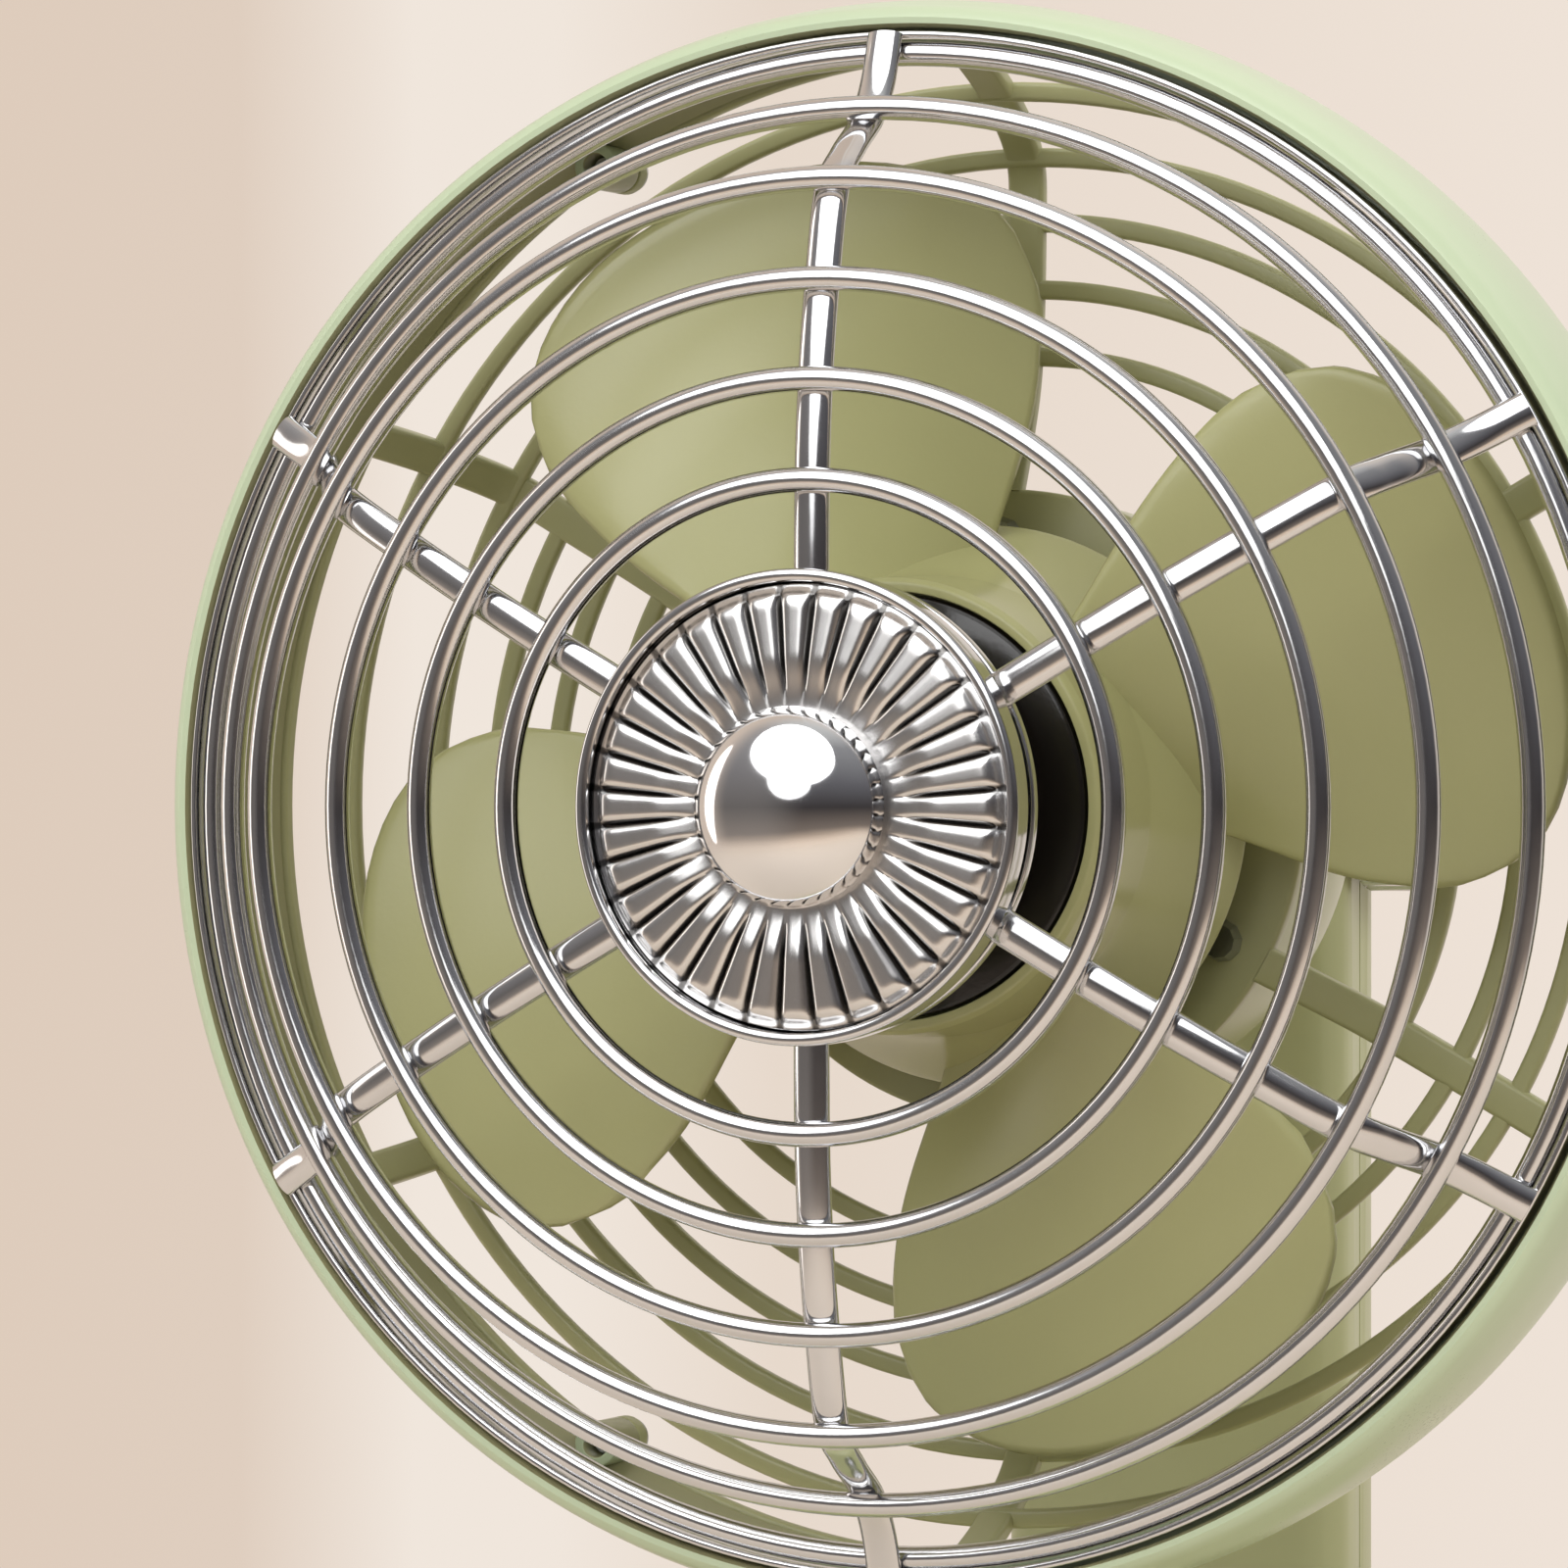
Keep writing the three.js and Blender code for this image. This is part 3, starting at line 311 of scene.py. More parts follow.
def turned(outline, where=on_fan, steps=144):
    """Points and faces of a closed outline of (radius, depth) pairs, turned about an axis."""
    points, faces, rows = [], [], []
    for radius, depth in outline:
        if radius < 1e-6:
            rows.append([len(points)] * steps)
            points.append(where(0, depth, 0))
        else:
            rows.append(list(range(len(points), len(points) + steps)))
            points.extend(where(radius, depth, math.tau * i / steps) for i in range(steps))
    for row, following in zip(rows, rows[1:] + rows[:1]):
        for i in range(steps):
            corners = [row[i], row[(i + 1) % steps], following[(i + 1) % steps], following[i]]
            corners = list(dict.fromkeys(corners))
            if len(corners) > 2:
                faces.append(corners)
    return points, faces


def smooth_line(knots, steps=8, closed=False):
    """A Catmull-Rom line through the knots."""
    knots = [Vector(knot) for knot in knots]
    count = len(knots)
    line = []
    for i in range(count if closed else count - 1):
        p0 = knots[i - 1] if closed or i else knots[0] * 2 - knots[1]
        p1, p2 = knots[i], knots[(i + 1) % count]
        p3 = knots[(i + 2) % count] if closed or i + 2 < count else knots[-1] * 2 - knots[-2]
        for step in range(steps):
            t = step / steps
            line.append(0.5 * (2 * p1 + (p2 - p0) * t + (2 * p0 - 5 * p1 + 4 * p2 - p3) * t * t
                               + (3 * p1 - p0 - 3 * p2 + p3) * t ** 3))
    if not closed:
        line.append(knots[-1])
    return line


def noise(make, place, scale, detail=2, distortion=0.0):
    return make.node("ShaderNodeTexNoise", sockets={
        "Vector": place, "Scale": scale, "Detail": detail, "Distortion": distortion})


def scaled(shade, factor):
    return (*[min(1, value * factor) for value in shade[:3]], 1)


def coated(make, base, roughness, relief=None, strength=0.0, depth=0.0002, **others):
    """Ends a material: base colour, roughness, a relief if it has one, and other sockets by name."""
    sockets = {"Base Color": base, "Roughness": roughness}
    sockets.update({label.replace("_", " "): value for label, value in others.items()})
    if relief:
        sockets["Normal"] = make.node("ShaderNodeBump", sockets={
            "Strength": strength, "Distance": depth, "Height": relief})
    surface = make.node("ShaderNodeBsdfPrincipled", sockets=sockets)
    make.node("ShaderNodeOutputMaterial", sockets={"Surface": surface})


def lacquer(name, shade, gloss=0.3, dapple=0.06, over=None):
    """Sprayed satin lacquer: fine orange peel, faint cloudiness in the colour, patchy sheen."""
    material, make, place = fresh_material(name)
    cloud, peel, dust = noise(make, place, 22, 3), noise(make, place, 900), noise(make, place, 2600, 1)
    tint = make.mixed(cloud, scaled(shade, 1 - dapple), scaled(shade, 1 + dapple))
    if over:
        tint = over(make, place, tint)
    coated(make, tint, gloss - 0.05 + 0.08 * cloud + 0.04 * dust, peel, 0.05,
           Coat_Weight=0.2, Coat_Roughness=0.2, Specular_IOR_Level=0.4)
    return material


def inward_painted_shade(make, place, paint):
    """Painted shade: the faces that turn towards the fan axis go over to a darker olive."""
    from_axis = make.node("ShaderNodeVectorMath", {"operation": "MULTIPLY_ADD"}, {
        0: place, 1: (1, 0, 1), 2: (0, 0, -AXIS_HEIGHT * MM)})
    outwards = make.node("ShaderNodeVectorMath", {"operation": "NORMALIZE"}, {0: from_axis})
    turned_out = make.dot(make.node("ShaderNodeTexCoord", give="Normal"), outwards)
    return make.mixed(make.eased(turned_out, -0.2, -0.5), paint, colour(150, 147, 110))


def settle(piece, body, slot, *nodes):
    """The piece moves with a body and stands for its CAD nodes; the slot is not used."""
    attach(piece, body)
    if nodes:
        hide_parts(*nodes)
    return piece


HEAD_RADIUS = (ring_high[0] - ring_low[0]) / 2 / MM
HEAD_DEPTH = 23
BOSS_CIRCLE = HEAD_RADIUS - 5.5
BOSS_RADIUS, BOSS_BORE, BOSS_LENGTH = 2.7, 1.5, 7
# The head's lacquer is a paler copy of the same sage paint as the stand's: painted light. Its faces that
# turn towards the fan axis get painted shade.
head_lacquer = lacquer("head_lacquer", colour(185, 197, 164), 0.28, over=inward_painted_shade)
outer_wall = smooth_line([
    (HEAD_RADIUS - 1.5, 0.5), (HEAD_RADIUS - 0.35, 5), (HEAD_RADIUS, 12), (HEAD_RADIUS - 0.45, 17.3),
    (HEAD_RADIUS - 1.35, 20.8), (HEAD_RADIUS - 2.25, HEAD_DEPTH - 0.35)], 6)
head_outline = [
    (HEAD_RADIUS - 3.85, 5.1), (HEAD_RADIUS - 3.85, -0.1), (HEAD_RADIUS - 3.5, -0.75),
    (HEAD_RADIUS - 2.8, -0.85), (HEAD_RADIUS - 2.1, -0.45),
    *[tuple(point) for point in outer_wall], (HEAD_RADIUS - 2.7, HEAD_DEPTH),
    (HEAD_RADIUS - 4.2, HEAD_DEPTH), (HEAD_RADIUS - 4.5, HEAD_DEPTH - 0.3), (HEAD_RADIUS - 3.6, 20.6),
    (HEAD_RADIUS - 2.6, 17.2), (HEAD_RADIUS - 2.1, 13), (HEAD_RADIUS - 2.35, 8.3), (HEAD_RADIUS - 5.6, 8.2),
    (HEAD_RADIUS - 6, 7.9), (HEAD_RADIUS - 6, 5.5), (HEAD_RADIUS - 5.7, 5.2)]
settle(part("head_shell", *turned(head_outline, steps=192), head_lacquer),
       "head", "green_shell", "head_ring")


def bosses(low, high):
    """Three short posts on the screw circle of the head, between two depths."""
    def beside(across, depth, turn):
        return on_fan(0, depth, 0) + Vector((
            across * math.sin(turn), 0, BOSS_CIRCLE + across * math.cos(turn))) * MM
    post = [(BOSS_BORE, low), (BOSS_RADIUS, low), (BOSS_RADIUS, high), (BOSS_BORE, high)]
    points, faces = turned(softened(post, 0.3), beside, 32)
    every_point, every_face = [], []
    for i in range(3):
        turn = Quaternion((0, 1, 0), -math.radians(30 + 120 * i))
        start = len(every_point)
        every_point += [fan_middle + turn @ (point - fan_middle) for point in points]
        every_face += [[start + corner for corner in face] for face in faces]
    return every_point, every_face


settle(part("head_bosses", *bosses(HEAD_DEPTH - BOSS_LENGTH, HEAD_DEPTH), head_lacquer),
       "head", "green_shell", "head_ring")

# ---- Wire guard ----
# Six flat chrome strips run from a plate in the middle to a thin rim band, with six round wire
# rings welded across them. The whole guard is plated as one and drops into the lip of the head.
SPOKE_COUNT = 6
CROWN_DEPTH = -23.6
SPOKE_WIDTH, SPOKE_THICKNESS = 4.2, 2.2
RING_WIRE, WELD_SINK = 2.8, 0.4
FIRST_RING = 36.2
RIM_BAND_RADIUS = HEAD_RADIUS - 4.4
SPOKE_END = RIM_BAND_RADIUS - 0.4
SHOULDER = SPOKE_END - 18.5


def growing_tree(name, inputs):
    """An empty geometry tree with its named inputs, as sockets."""
    tree = bpy.data.node_groups.new(name, "GeometryNodeTree")
    tree.is_modifier = True
    for label, kind in inputs:
        tree.interface.new_socket(label, in_out="INPUT", socket_type=kind)
    tree.interface.new_socket("Geometry", in_out="OUTPUT", socket_type="NodeSocketGeometry")
    given = tree.nodes.new("NodeGroupInput")
    return Socket(tree), {label: Socket(tree, given.outputs[label]) for label, _ in inputs}


def close_tree(make, geometry, material):
    """Ends a tree: its copies become real geometry with one material."""
    solid = make.node("GeometryNodeRealizeInstances", sockets={"Geometry": geometry})
    coated = make.node("GeometryNodeSetMaterial", sockets={"Geometry": solid, "Material": material})
    make.node("NodeGroupOutput", sockets={"Geometry": coated})


def grown(name, make, values, material, points=(), edges=(), faces=(), crease=32):
    """Runs a tree on a starting mesh and keeps the result as a plain mesh."""
    start = bpy.data.meshes.new(name + "_start")
    start.from_pydata(points, edges, faces)
    holder = bpy.data.objects.new(name + "_start", start)
    scene.collection.objects.link(holder)
    modifier = holder.modifiers.new("grow", "NODES")
    modifier.node_group = make.tree
    for item in make.tree.interface.items_tree:
        if item.in_out == "INPUT" and item.name in values:
            modifier[item.identifier] = values[item.name]
        elif item.in_out == "INPUT" and item.name == "Material":
            modifier[item.identifier] = material
    graph = bpy.context.evaluated_depsgraph_get()
    mesh = bpy.data.meshes.new_from_object(holder.evaluated_get(graph), depsgraph=graph)
    bpy.data.objects.remove(holder)
    mesh.name = name
    outward(mesh)
    return dressed(name, mesh, material, crease)


GEOMETRY, LENGTH, WHOLE = "NodeSocketGeometry", "NodeSocketFloat", "NodeSocketInt"
PLACE, COAT = "NodeSocketVector", "NodeSocketMaterial"


def rings_of_strip(count):
    """A tree for flat or round rings about the fan axis, each with its own radius and depth."""
    sizes = [(label, LENGTH) for i in range(count) for label in (f"Radius {i + 1}", f"Depth {i + 1}")]
    make, given = growing_tree(f"rings_{count}", [
        ("Geometry", GEOMETRY), ("Width", LENGTH), ("Thickness", LENGTH), ("Edge Radius", LENGTH),
        ("Centre", PLACE), *sizes, ("Material", COAT)])
    rings = []
    for i in range(count):
        hoop = make.node("GeometryNodeCurvePrimitiveCircle", {"mode": "RADIUS"}, {
            "Resolution": 160, "Radius": given[f"Radius {i + 1}"]})
        back = make.node("ShaderNodeCombineXYZ", sockets={"Y": given[f"Depth {i + 1}"]})
        spot = make.node("ShaderNodeVectorMath", {"operation": "ADD"}, {0: given["Centre"], 1: back})
        rings.append((hoop, spot))
    section = make.node("GeometryNodeFilletCurve", {"mode": "POLY"}, {
        "Curve": make.node("GeometryNodeCurvePrimitiveQuadrilateral", sockets={
            "Width": given["Width"], "Height": given["Thickness"]}),
        "Count": 4, "Radius": given["Edge Radius"], "Limit Radius": True})
    wires = [make.node("GeometryNodeTransform", sockets={
        "Geometry": make.node("GeometryNodeCurveToMesh", sockets={"Curve": hoop, "Profile Curve": section}),
        "Translation": spot, "Rotation": (math.pi / 2, 0, 0)}) for hoop, spot in rings]
    close_tree(make, make.node("GeometryNodeJoinGeometry", sockets={"Geometry": wires}), given["Material"])
    return make


def strips_about_axis(crowned):
    """A tree for strips along a path, repeated about the axis: oval in section, or a rounded rectangle."""
    make, given = growing_tree("strips_about_axis", [
        ("Geometry", GEOMETRY), ("Width", LENGTH), ("Thickness", LENGTH), ("Edge Radius", LENGTH),
        ("Count", WHOLE), ("First Angle", LENGTH), ("Centre", PLACE), ("Material", COAT)])
    path = make.node("GeometryNodeSetCurveNormal", {"mode": "Z_UP"}, {
        "Curve": make.node("GeometryNodeMeshToCurve", sockets={"Mesh": given["Geometry"]})})
    if crowned:
        section = make.node("GeometryNodeTransform", sockets={
            "Geometry": make.node("GeometryNodeCurvePrimitiveCircle", {"mode": "RADIUS"}, {
                "Resolution": 24, "Radius": 0.5}),
            "Scale": make.node("ShaderNodeCombineXYZ", sockets={
                "X": given["Thickness"], "Y": given["Width"], "Z": 1})})
    else:
        section = make.node("GeometryNodeFilletCurve", {"mode": "POLY"}, {
            "Curve": make.node("GeometryNodeCurvePrimitiveQuadrilateral", sockets={
                "Width": given["Thickness"], "Height": given["Width"]}),
            "Count": 5, "Radius": given["Edge Radius"], "Limit Radius": True})
    strip = make.node("GeometryNodeCurveToMesh", sockets={
        "Curve": path, "Profile Curve": section, "Fill Caps": True})
    angle = given["First Angle"] + math.tau * make.node("GeometryNodeInputIndex") / given["Count"]
    seats = make.node("GeometryNodePoints", sockets={"Count": given["Count"], "Position": given["Centre"]})
    close_tree(make, make.node("GeometryNodeInstanceOnPoints", sockets={
        "Points": seats, "Instance": strip,
        "Rotation": make.node("ShaderNodeCombineXYZ", sockets={"Y": 0 - angle})}), given["Material"])
    return make


def plating(name, tint=(0.72, 0.72, 0.73, 1), gloss=0.045, over=None):
    """Bright chrome: a mirror with faint polishing haze and a very slight ripple."""
    material, make, place = fresh_material(name)
    haze, ripple = noise(make, place, 140, 4), noise(make, place, 260, 1)
    metal = make.mixed(haze, scaled(tint, 0.94), tint)
    if over:
        metal = over(make, place, metal)
    coated(make, metal, gloss + 0.05 * haze, ripple, 0.06, Metallic=1)
    return material


chrome = plating("chrome", gloss=0.09)
crown_knots = [(9, CROWN_DEPTH), (20, CROWN_DEPTH), (30, CROWN_DEPTH)]
for share in (0.25, 0.5, 0.75, 1):
    crown_knots.append((30 + (SHOULDER - 30) * share, CROWN_DEPTH + 6.2 * share ** 2.1))
crown_knots += [(SPOKE_END - 14.2, CROWN_DEPTH + 10.8), (SPOKE_END - 10.4, CROWN_DEPTH + 16.4),
                (SPOKE_END - 5.8, CROWN_DEPTH + 20), (SPOKE_END, CROWN_DEPTH + 22.4)]
spoke_line = smooth_line(crown_knots, 8)
spoke_points = [Vector((radius, depth, 0)) * MM for radius, depth in spoke_line]


def path_edges(points):
    return [(i, i + 1) for i in range(len(points) - 1)]


guard_spokes = grown("guard_spokes", strips_about_axis(crowned=True), {
    "Width": SPOKE_WIDTH * MM, "Thickness": SPOKE_THICKNESS * MM, "Count": SPOKE_COUNT,
    "First Angle": math.pi / 2, "Centre": fan_middle}, chrome, spoke_points, path_edges(spoke_points))
settle(guard_spokes, "head", "chrome_plate", "front_guard")


def ring_seat(crossing, side):
    """Centre of a ring wire that lies on the strips where they pass a radius."""
    after = next(i for i, point in enumerate(spoke_line) if point[0] >= crossing)
    near, far = spoke_line[after - 1], spoke_line[after]
    point = near.lerp(far, (crossing - near[0]) / (far[0] - near[0]))
    along = (far - near).normalized()
    offset = side * (SPOKE_THICKNESS / 2 + RING_WIRE / 2 - WELD_SINK)
    return point[0] + offset * along[1], point[1] - offset * along[0]


seats = [ring_seat(FIRST_RING + (SHOULDER - FIRST_RING) * i / 3, 1) for i in range(4)]
seats += [ring_seat(SPOKE_END - 10.6, 1), ring_seat(SPOKE_END - 1.4, -1)]
ring_values = {"Width": RING_WIRE * MM, "Thickness": RING_WIRE * MM, "Edge Radius": RING_WIRE / 2 * MM,
               "Centre": fan_middle}
for i, (radius, depth) in enumerate(seats):
    ring_values[f"Radius {i + 1}"] = radius * MM
    ring_values[f"Depth {i + 1}"] = depth * MM
settle(grown("guard_rings", rings_of_strip(6), ring_values, chrome), "head", "chrome_plate", "front_guard")
rim_band = softened([(RIM_BAND_RADIUS - 0.8, -1.2), (RIM_BAND_RADIUS, -1.2), (RIM_BAND_RADIUS, 4.9),
                     (RIM_BAND_RADIUS - 0.8, 4.9)], 0.3)
settle(part("guard_rim_band", *turned(rim_band, steps=192), chrome), "head", "chrome_plate", "front_guard")
guard_plate = softened([(2.9, -22.7), (26, -22.7), (26, -21.2), (2.9, -21.2)], 0.4)
settle(part("guard_plate", *turned(guard_plate), chrome), "head", "chrome_plate", "front_guard")

# ---- Badge ----
# The badge is pressed chromed brass: a shallow tray with a rolled edge, a disc folded into
# thirty-six radial pleats, and a polished dome whose stud clamps all of it to the guard.
FLUTES = 36
PLEAT_EDGE, PLEAT_START = 24.6, 11
DOME_RADIUS, DOME_SEAT, DOME_RISE = 11.05, -30.5, 5.9
tray = [(2.9, -25, 0.2), (25.8, -25, 0.5), (26.4, -25.6, 0.4), (26.4, -29.2, 0.75), (24.95, -29.2, 0.75),
        (24.95, -26.2, 0.3), (2.9, -26.2, 0.2)]
settle(part("badge_bezel", *turned(softened(tray, 0.3, 6)), chrome), "head", "chrome_plate", "badge_bezel")

copy_tree, given = growing_tree("copies_about_axis", [
    ("Geometry", GEOMETRY), ("Count", WHOLE), ("First Angle", LENGTH), ("Step Angle", LENGTH),
    ("Centre", PLACE), ("Axis Tilt", PLACE), ("Material", COAT)])
number = copy_tree.node("GeometryNodeInputIndex")
swing = copy_tree.node("ShaderNodeCombineXYZ", sockets={
    "Y": 0 - (given["First Angle"] + number * given["Step Angle"])})
seats = copy_tree.node("GeometryNodePoints", sockets={"Count": given["Count"]})
copies = copy_tree.node("GeometryNodeInstanceOnPoints", sockets={
    "Points": seats, "Instance": given["Geometry"], "Rotation": swing})
close_tree(copy_tree, copy_tree.node("GeometryNodeTransform", sockets={
    "Geometry": copy_tree.node("GeometryNodeRealizeInstances", sockets={"Geometry": copies}),
    "Translation": given["Centre"], "Rotation": given["Axis Tilt"]}), given["Material"])
LYING, STANDING, SIDEWAYS = (0, 0, 0), (math.pi / 2, 0, 0), (0, 0, -math.pi / 2)


def wedge(loop, count, steps, shape):
    """One of count equal slices about the Y axis: shape gives radius and depth at a share of the slice."""
    points, faces = [], []
    for step in range(steps + 1):
        share = 2 * step / steps - 1
        turn = math.pi / count * share
        for entry in loop:
            radius, depth = shape(entry, share)
            points.append(Vector((radius * math.sin(turn), depth, radius * math.cos(turn))) * MM)
    size = len(loop)
    for step in range(steps):
        for i in range(size):
            following = (i + 1) % size
            faces.append((step * size + i, step * size + following,
                          (step + 1) * size + following, (step + 1) * size + i))
    return points, faces


def repeated(name, shape, count, centre, tilt, material, first=0.0, step=None, crease=32):
    """The shape about an axis through centre, count times."""
    return grown(name, copy_tree, {
        "Count": count, "First Angle": first, "Step Angle": step or math.tau / count,
        "Centre": centre, "Axis Tilt": tilt}, material, shape[0], (), shape[1], crease)


def pleat(entry, share):
    radius, depth, front = entry
    if not front:
        return radius, depth
    rise = min(1, max(0, (radius - PLEAT_START) / 6))
    rise = rise * rise * (3 - 2 * rise)
    tip = min(1, max(0, (radius - 22.2) / 1.7))
    swell = 1.1 * (0.6 + 0.4 * radius / PLEAT_EDGE) * rise * math.sqrt(1 - tip * tip)
    return radius, depth - swell * (1 - abs(share) ** 5)


def crease_painted_shade(make, place, metal):
    """Painted shade: the creases between the pleats are painted near black, from where they grow deep."""
    across = make.node("ShaderNodeSeparateXYZ", sockets={"Vector": place}, give=0)
    up = make.node("ShaderNodeSeparateXYZ", sockets={"Vector": place}, give=2) - AXIS_HEIGHT * MM
    from_crest = make.maths("PINGPONG", make.maths("ARCTAN2", across, up) * (FLUTES / math.tau), 0.5)
    reach = make.maths("SQRT", across * across + up * up)
    share = 0.85 * make.eased(from_crest, 0.36, 0.45) * make.eased(reach, 0.0125, 0.016)
    return make.mixed(share, metal, (0.06, 0.055, 0.05, 1))


# The satin chrome of the pleated disc carries painted shade in its creases.
satin = plating("satin_chrome", (0.74, 0.73, 0.72, 1), 0.2, crease_painted_shade)
polished = plating("polished_chrome", (0.82, 0.82, 0.83, 1), 0.05)
pleat_loop = [(2.9, -26.5, False)]
for i in range(41):
    radius = 2.9 + (PLEAT_EDGE - 2.9) * (i / 40) ** 0.75
    pleat_loop.append((radius, -28.8 + 1.1 * max(0, radius - 9) / (PLEAT_EDGE - 9), True))
pleat_loop.append((PLEAT_EDGE, -26.5, False))
settle(repeated("badge_fluted_disc", wedge(pleat_loop, FLUTES, 10, pleat), FLUTES, fan_middle, LYING, satin,
                crease=50), "head", "chrome_plate", "badge_fluted_disc")
dome = [(0, -16.2), (2.4, -16.2), (2.6, -16.6), (2.6, -29.9), (10.9, -29.9), (11.2, -30.15),
        (DOME_RADIUS, DOME_SEAT)]
dome += [(DOME_RADIUS * across, DOME_SEAT - DOME_RISE * ahead)
         for across, ahead in arc(1, 0, math.pi / 2, 24)[1:-1]]
dome.append((0, DOME_SEAT - DOME_RISE))
settle(part("badge_dome", *turned(dome), polished, 50), "head", "chrome_plate", "badge_dome")

# ---- Rear grille ----
# The back of the head is one green basket: a thin rim, six ribs that drop steeply to a flat back,
# five flat rings and a disc that carries the motor. Three pan-head screws hold it to the head shell.
GRILLE_DISC = 37.5
RIM_BACK = HEAD_DEPTH + 2.5
RIM_OUTER = HEAD_RADIUS - 2.6
RIM_INNER = RIM_OUTER - 2.4
GRILLE_SPAN = RIM_INNER - GRILLE_DISC
# The grille's lacquer is a darker olive copy of the same sage paint: painted shade.
grille_lacquer = lacquer("grille_lacquer", colour(166, 164, 120), 0.34)
rib_knots = [(GRILLE_DISC - 0.6, RIM_BACK + 12.3)]
for share, behind in ((0.12, 15.5), (0.3, 18.6), (0.62, 19.8), (0.8, 18.8), (0.935, 9.6)):
    rib_knots.append((GRILLE_DISC + share * GRILLE_SPAN, RIM_BACK + behind))
rib_knots.append((RIM_INNER + 1.2, RIM_BACK - 1.1))
rib_line = smooth_line(rib_knots, 8)
rib_points = [Vector((radius, depth, 0)) * MM for radius, depth in rib_line]
settle(grown("grille_ribs", strips_about_axis(crowned=False), {
    "Width": 4.5 * MM, "Thickness": 2.2 * MM, "Edge Radius": 0.7 * MM, "Count": SPOKE_COUNT,
    "First Angle": math.pi / 2, "Centre": fan_middle}, grille_lacquer, rib_points, path_edges(rib_points)),
    "head", "green_shell", "rear_grille")
grille_values = {"Width": 2.3 * MM, "Thickness": 1.8 * MM, "Edge Radius": 0.6 * MM, "Centre": fan_middle}
for i, share in enumerate((0.32, 0.48, 0.64, 0.794, 0.935)):
    radius = GRILLE_DISC + share * GRILLE_SPAN
    grille_values[f"Radius {i + 1}"] = radius * MM
    grille_values[f"Depth {i + 1}"] = min(rib_line, key=lambda point: abs(point[0] - radius))[1] * MM
settle(grown("grille_rings", rings_of_strip(5), grille_values, grille_lacquer), "head", "green_shell",
       "rear_grille")
grille_rim = softened([(RIM_INNER, HEAD_DEPTH + 0.3), (RIM_OUTER, HEAD_DEPTH + 0.3), (RIM_OUTER, RIM_BACK),
                       (RIM_INNER, RIM_BACK)], 0.6)
settle(part("grille_rim", *turned(grille_rim, steps=192), grille_lacquer),
       "head", "green_shell", "rear_grille")
settle(part("grille_lugs", *bosses(HEAD_DEPTH + 0.3, RIM_BACK), grille_lacquer), "head", "green_shell",
       "rear_grille")
grille_disc = softened([(11, 37), (GRILLE_DISC, 37), (GRILLE_DISC, 39.2), (11, 39.2)], 0.6)
settle(part("grille_disc", *turned(grille_disc), grille_lacquer), "head", "green_shell", "rear_grille")


def shaped(name, blank, steps, material, edge=0.4, crease=32):
    """The blank after each boolean step (an operation and a shape), with its edges eased."""
    def holder_of(label, shape):
        mesh = bpy.data.meshes.new(label)
        mesh.from_pydata(shape[0], [], shape[1])
        outward(mesh)
        holder = bpy.data.objects.new(label, mesh)
        scene.collection.objects.link(holder)
        return holder
    body = holder_of(name + "_blank", blank)
    tools = []
    for i, (operation, shape) in enumerate(steps):
        tool = holder_of(f"{name}_tool_{i}", shape)
        tools.append(tool)
        modifier = body.modifiers.new("cut", "BOOLEAN")
        modifier.operation = operation
        modifier.solver = "EXACT"
        modifier.object = tool
    if edge:
        modifier = body.modifiers.new("ease", "BEVEL")
        modifier.width = edge * MM
        modifier.segments = 3
        modifier.limit_method = "ANGLE"
        modifier.angle_limit = math.radians(40)
    graph = bpy.context.evaluated_depsgraph_get()
    mesh = bpy.data.meshes.new_from_object(body.evaluated_get(graph), depsgraph=graph)
    for holder in [body, *tools]:
        bpy.data.objects.remove(holder)
    mesh.name = name
    return dressed(name, mesh, material, crease)


def prism(outline, low, high, place):
    """Points and faces of an outline pushed from low to high; place puts the three numbers in space."""
    count = len(outline)
    points = [place(a, b, low) for a, b in outline] + [place(a, b, high) for a, b in outline]
    faces = [tuple(range(count))[::-1], tuple(range(count, 2 * count))]
    faces += [(i, (i + 1) % count, count + (i + 1) % count, count + i) for i in range(count)]
    return points, faces


def rectangle(width, height, corner=0.0, steps=8):
    """A rectangle about the origin with rounded corners."""
    outline = []
    for i, (x, y) in enumerate(((1, 1), (-1, 1), (-1, -1), (1, -1))):
        middle = (x * (width / 2 - corner), y * (height / 2 - corner))
        quarter = arc(corner, math.pi / 2 * i, math.pi / 2 * (i + 1), steps, middle)
        outline += quarter if corner else [middle]
    return outline


def facing_back(x, z, y):
    return Vector((x, y, z)) * MM


def lying(radius, depth, turn):
    return Vector((radius * math.sin(turn), depth, radius * math.cos(turn))) * MM


# A pan-head machine screw with a cross recess, made on the Y axis with its head at the back.
RECESS_LENGTH, RECESS_WIDTH, RECESS_FLOOR = 2.9, 0.55, 0.85
zinc = plating("zinc_steel", (0.52, 0.53, 0.55, 1), 0.26)
pan_head = [(0, -7), (1.2, -7), (1.2, 0), (2.5, 0), (2.5, 0.35), (2.35, 0.9), (1.9, 1.4), (1.1, 1.6),
            (0, 1.62)]
recess = [("DIFFERENCE", prism(rectangle(*sides), RECESS_FLOOR, 2.6, facing_back))
          for sides in ((RECESS_LENGTH, RECESS_WIDTH), (RECESS_WIDTH, RECESS_LENGTH))]
screw = shaped("grille_screw", turned(pan_head, lying, 32), recess, zinc, 0)
screw_seat = Vector((0, RIM_BACK + 0.1, BOSS_CIRCLE)) * MM
screw_shape = ([vertex.co + screw_seat for vertex in screw.data.vertices],
               [tuple(face.vertices) for face in screw.data.polygons])
bpy.data.objects.remove(screw)
settle(repeated("grille_screws", screw_shape, 3, fan_middle, LYING, zinc, math.radians(30)),
       "head", "zinc_steel", "grille_screw_1", "grille_screw_2", "grille_screw_3")

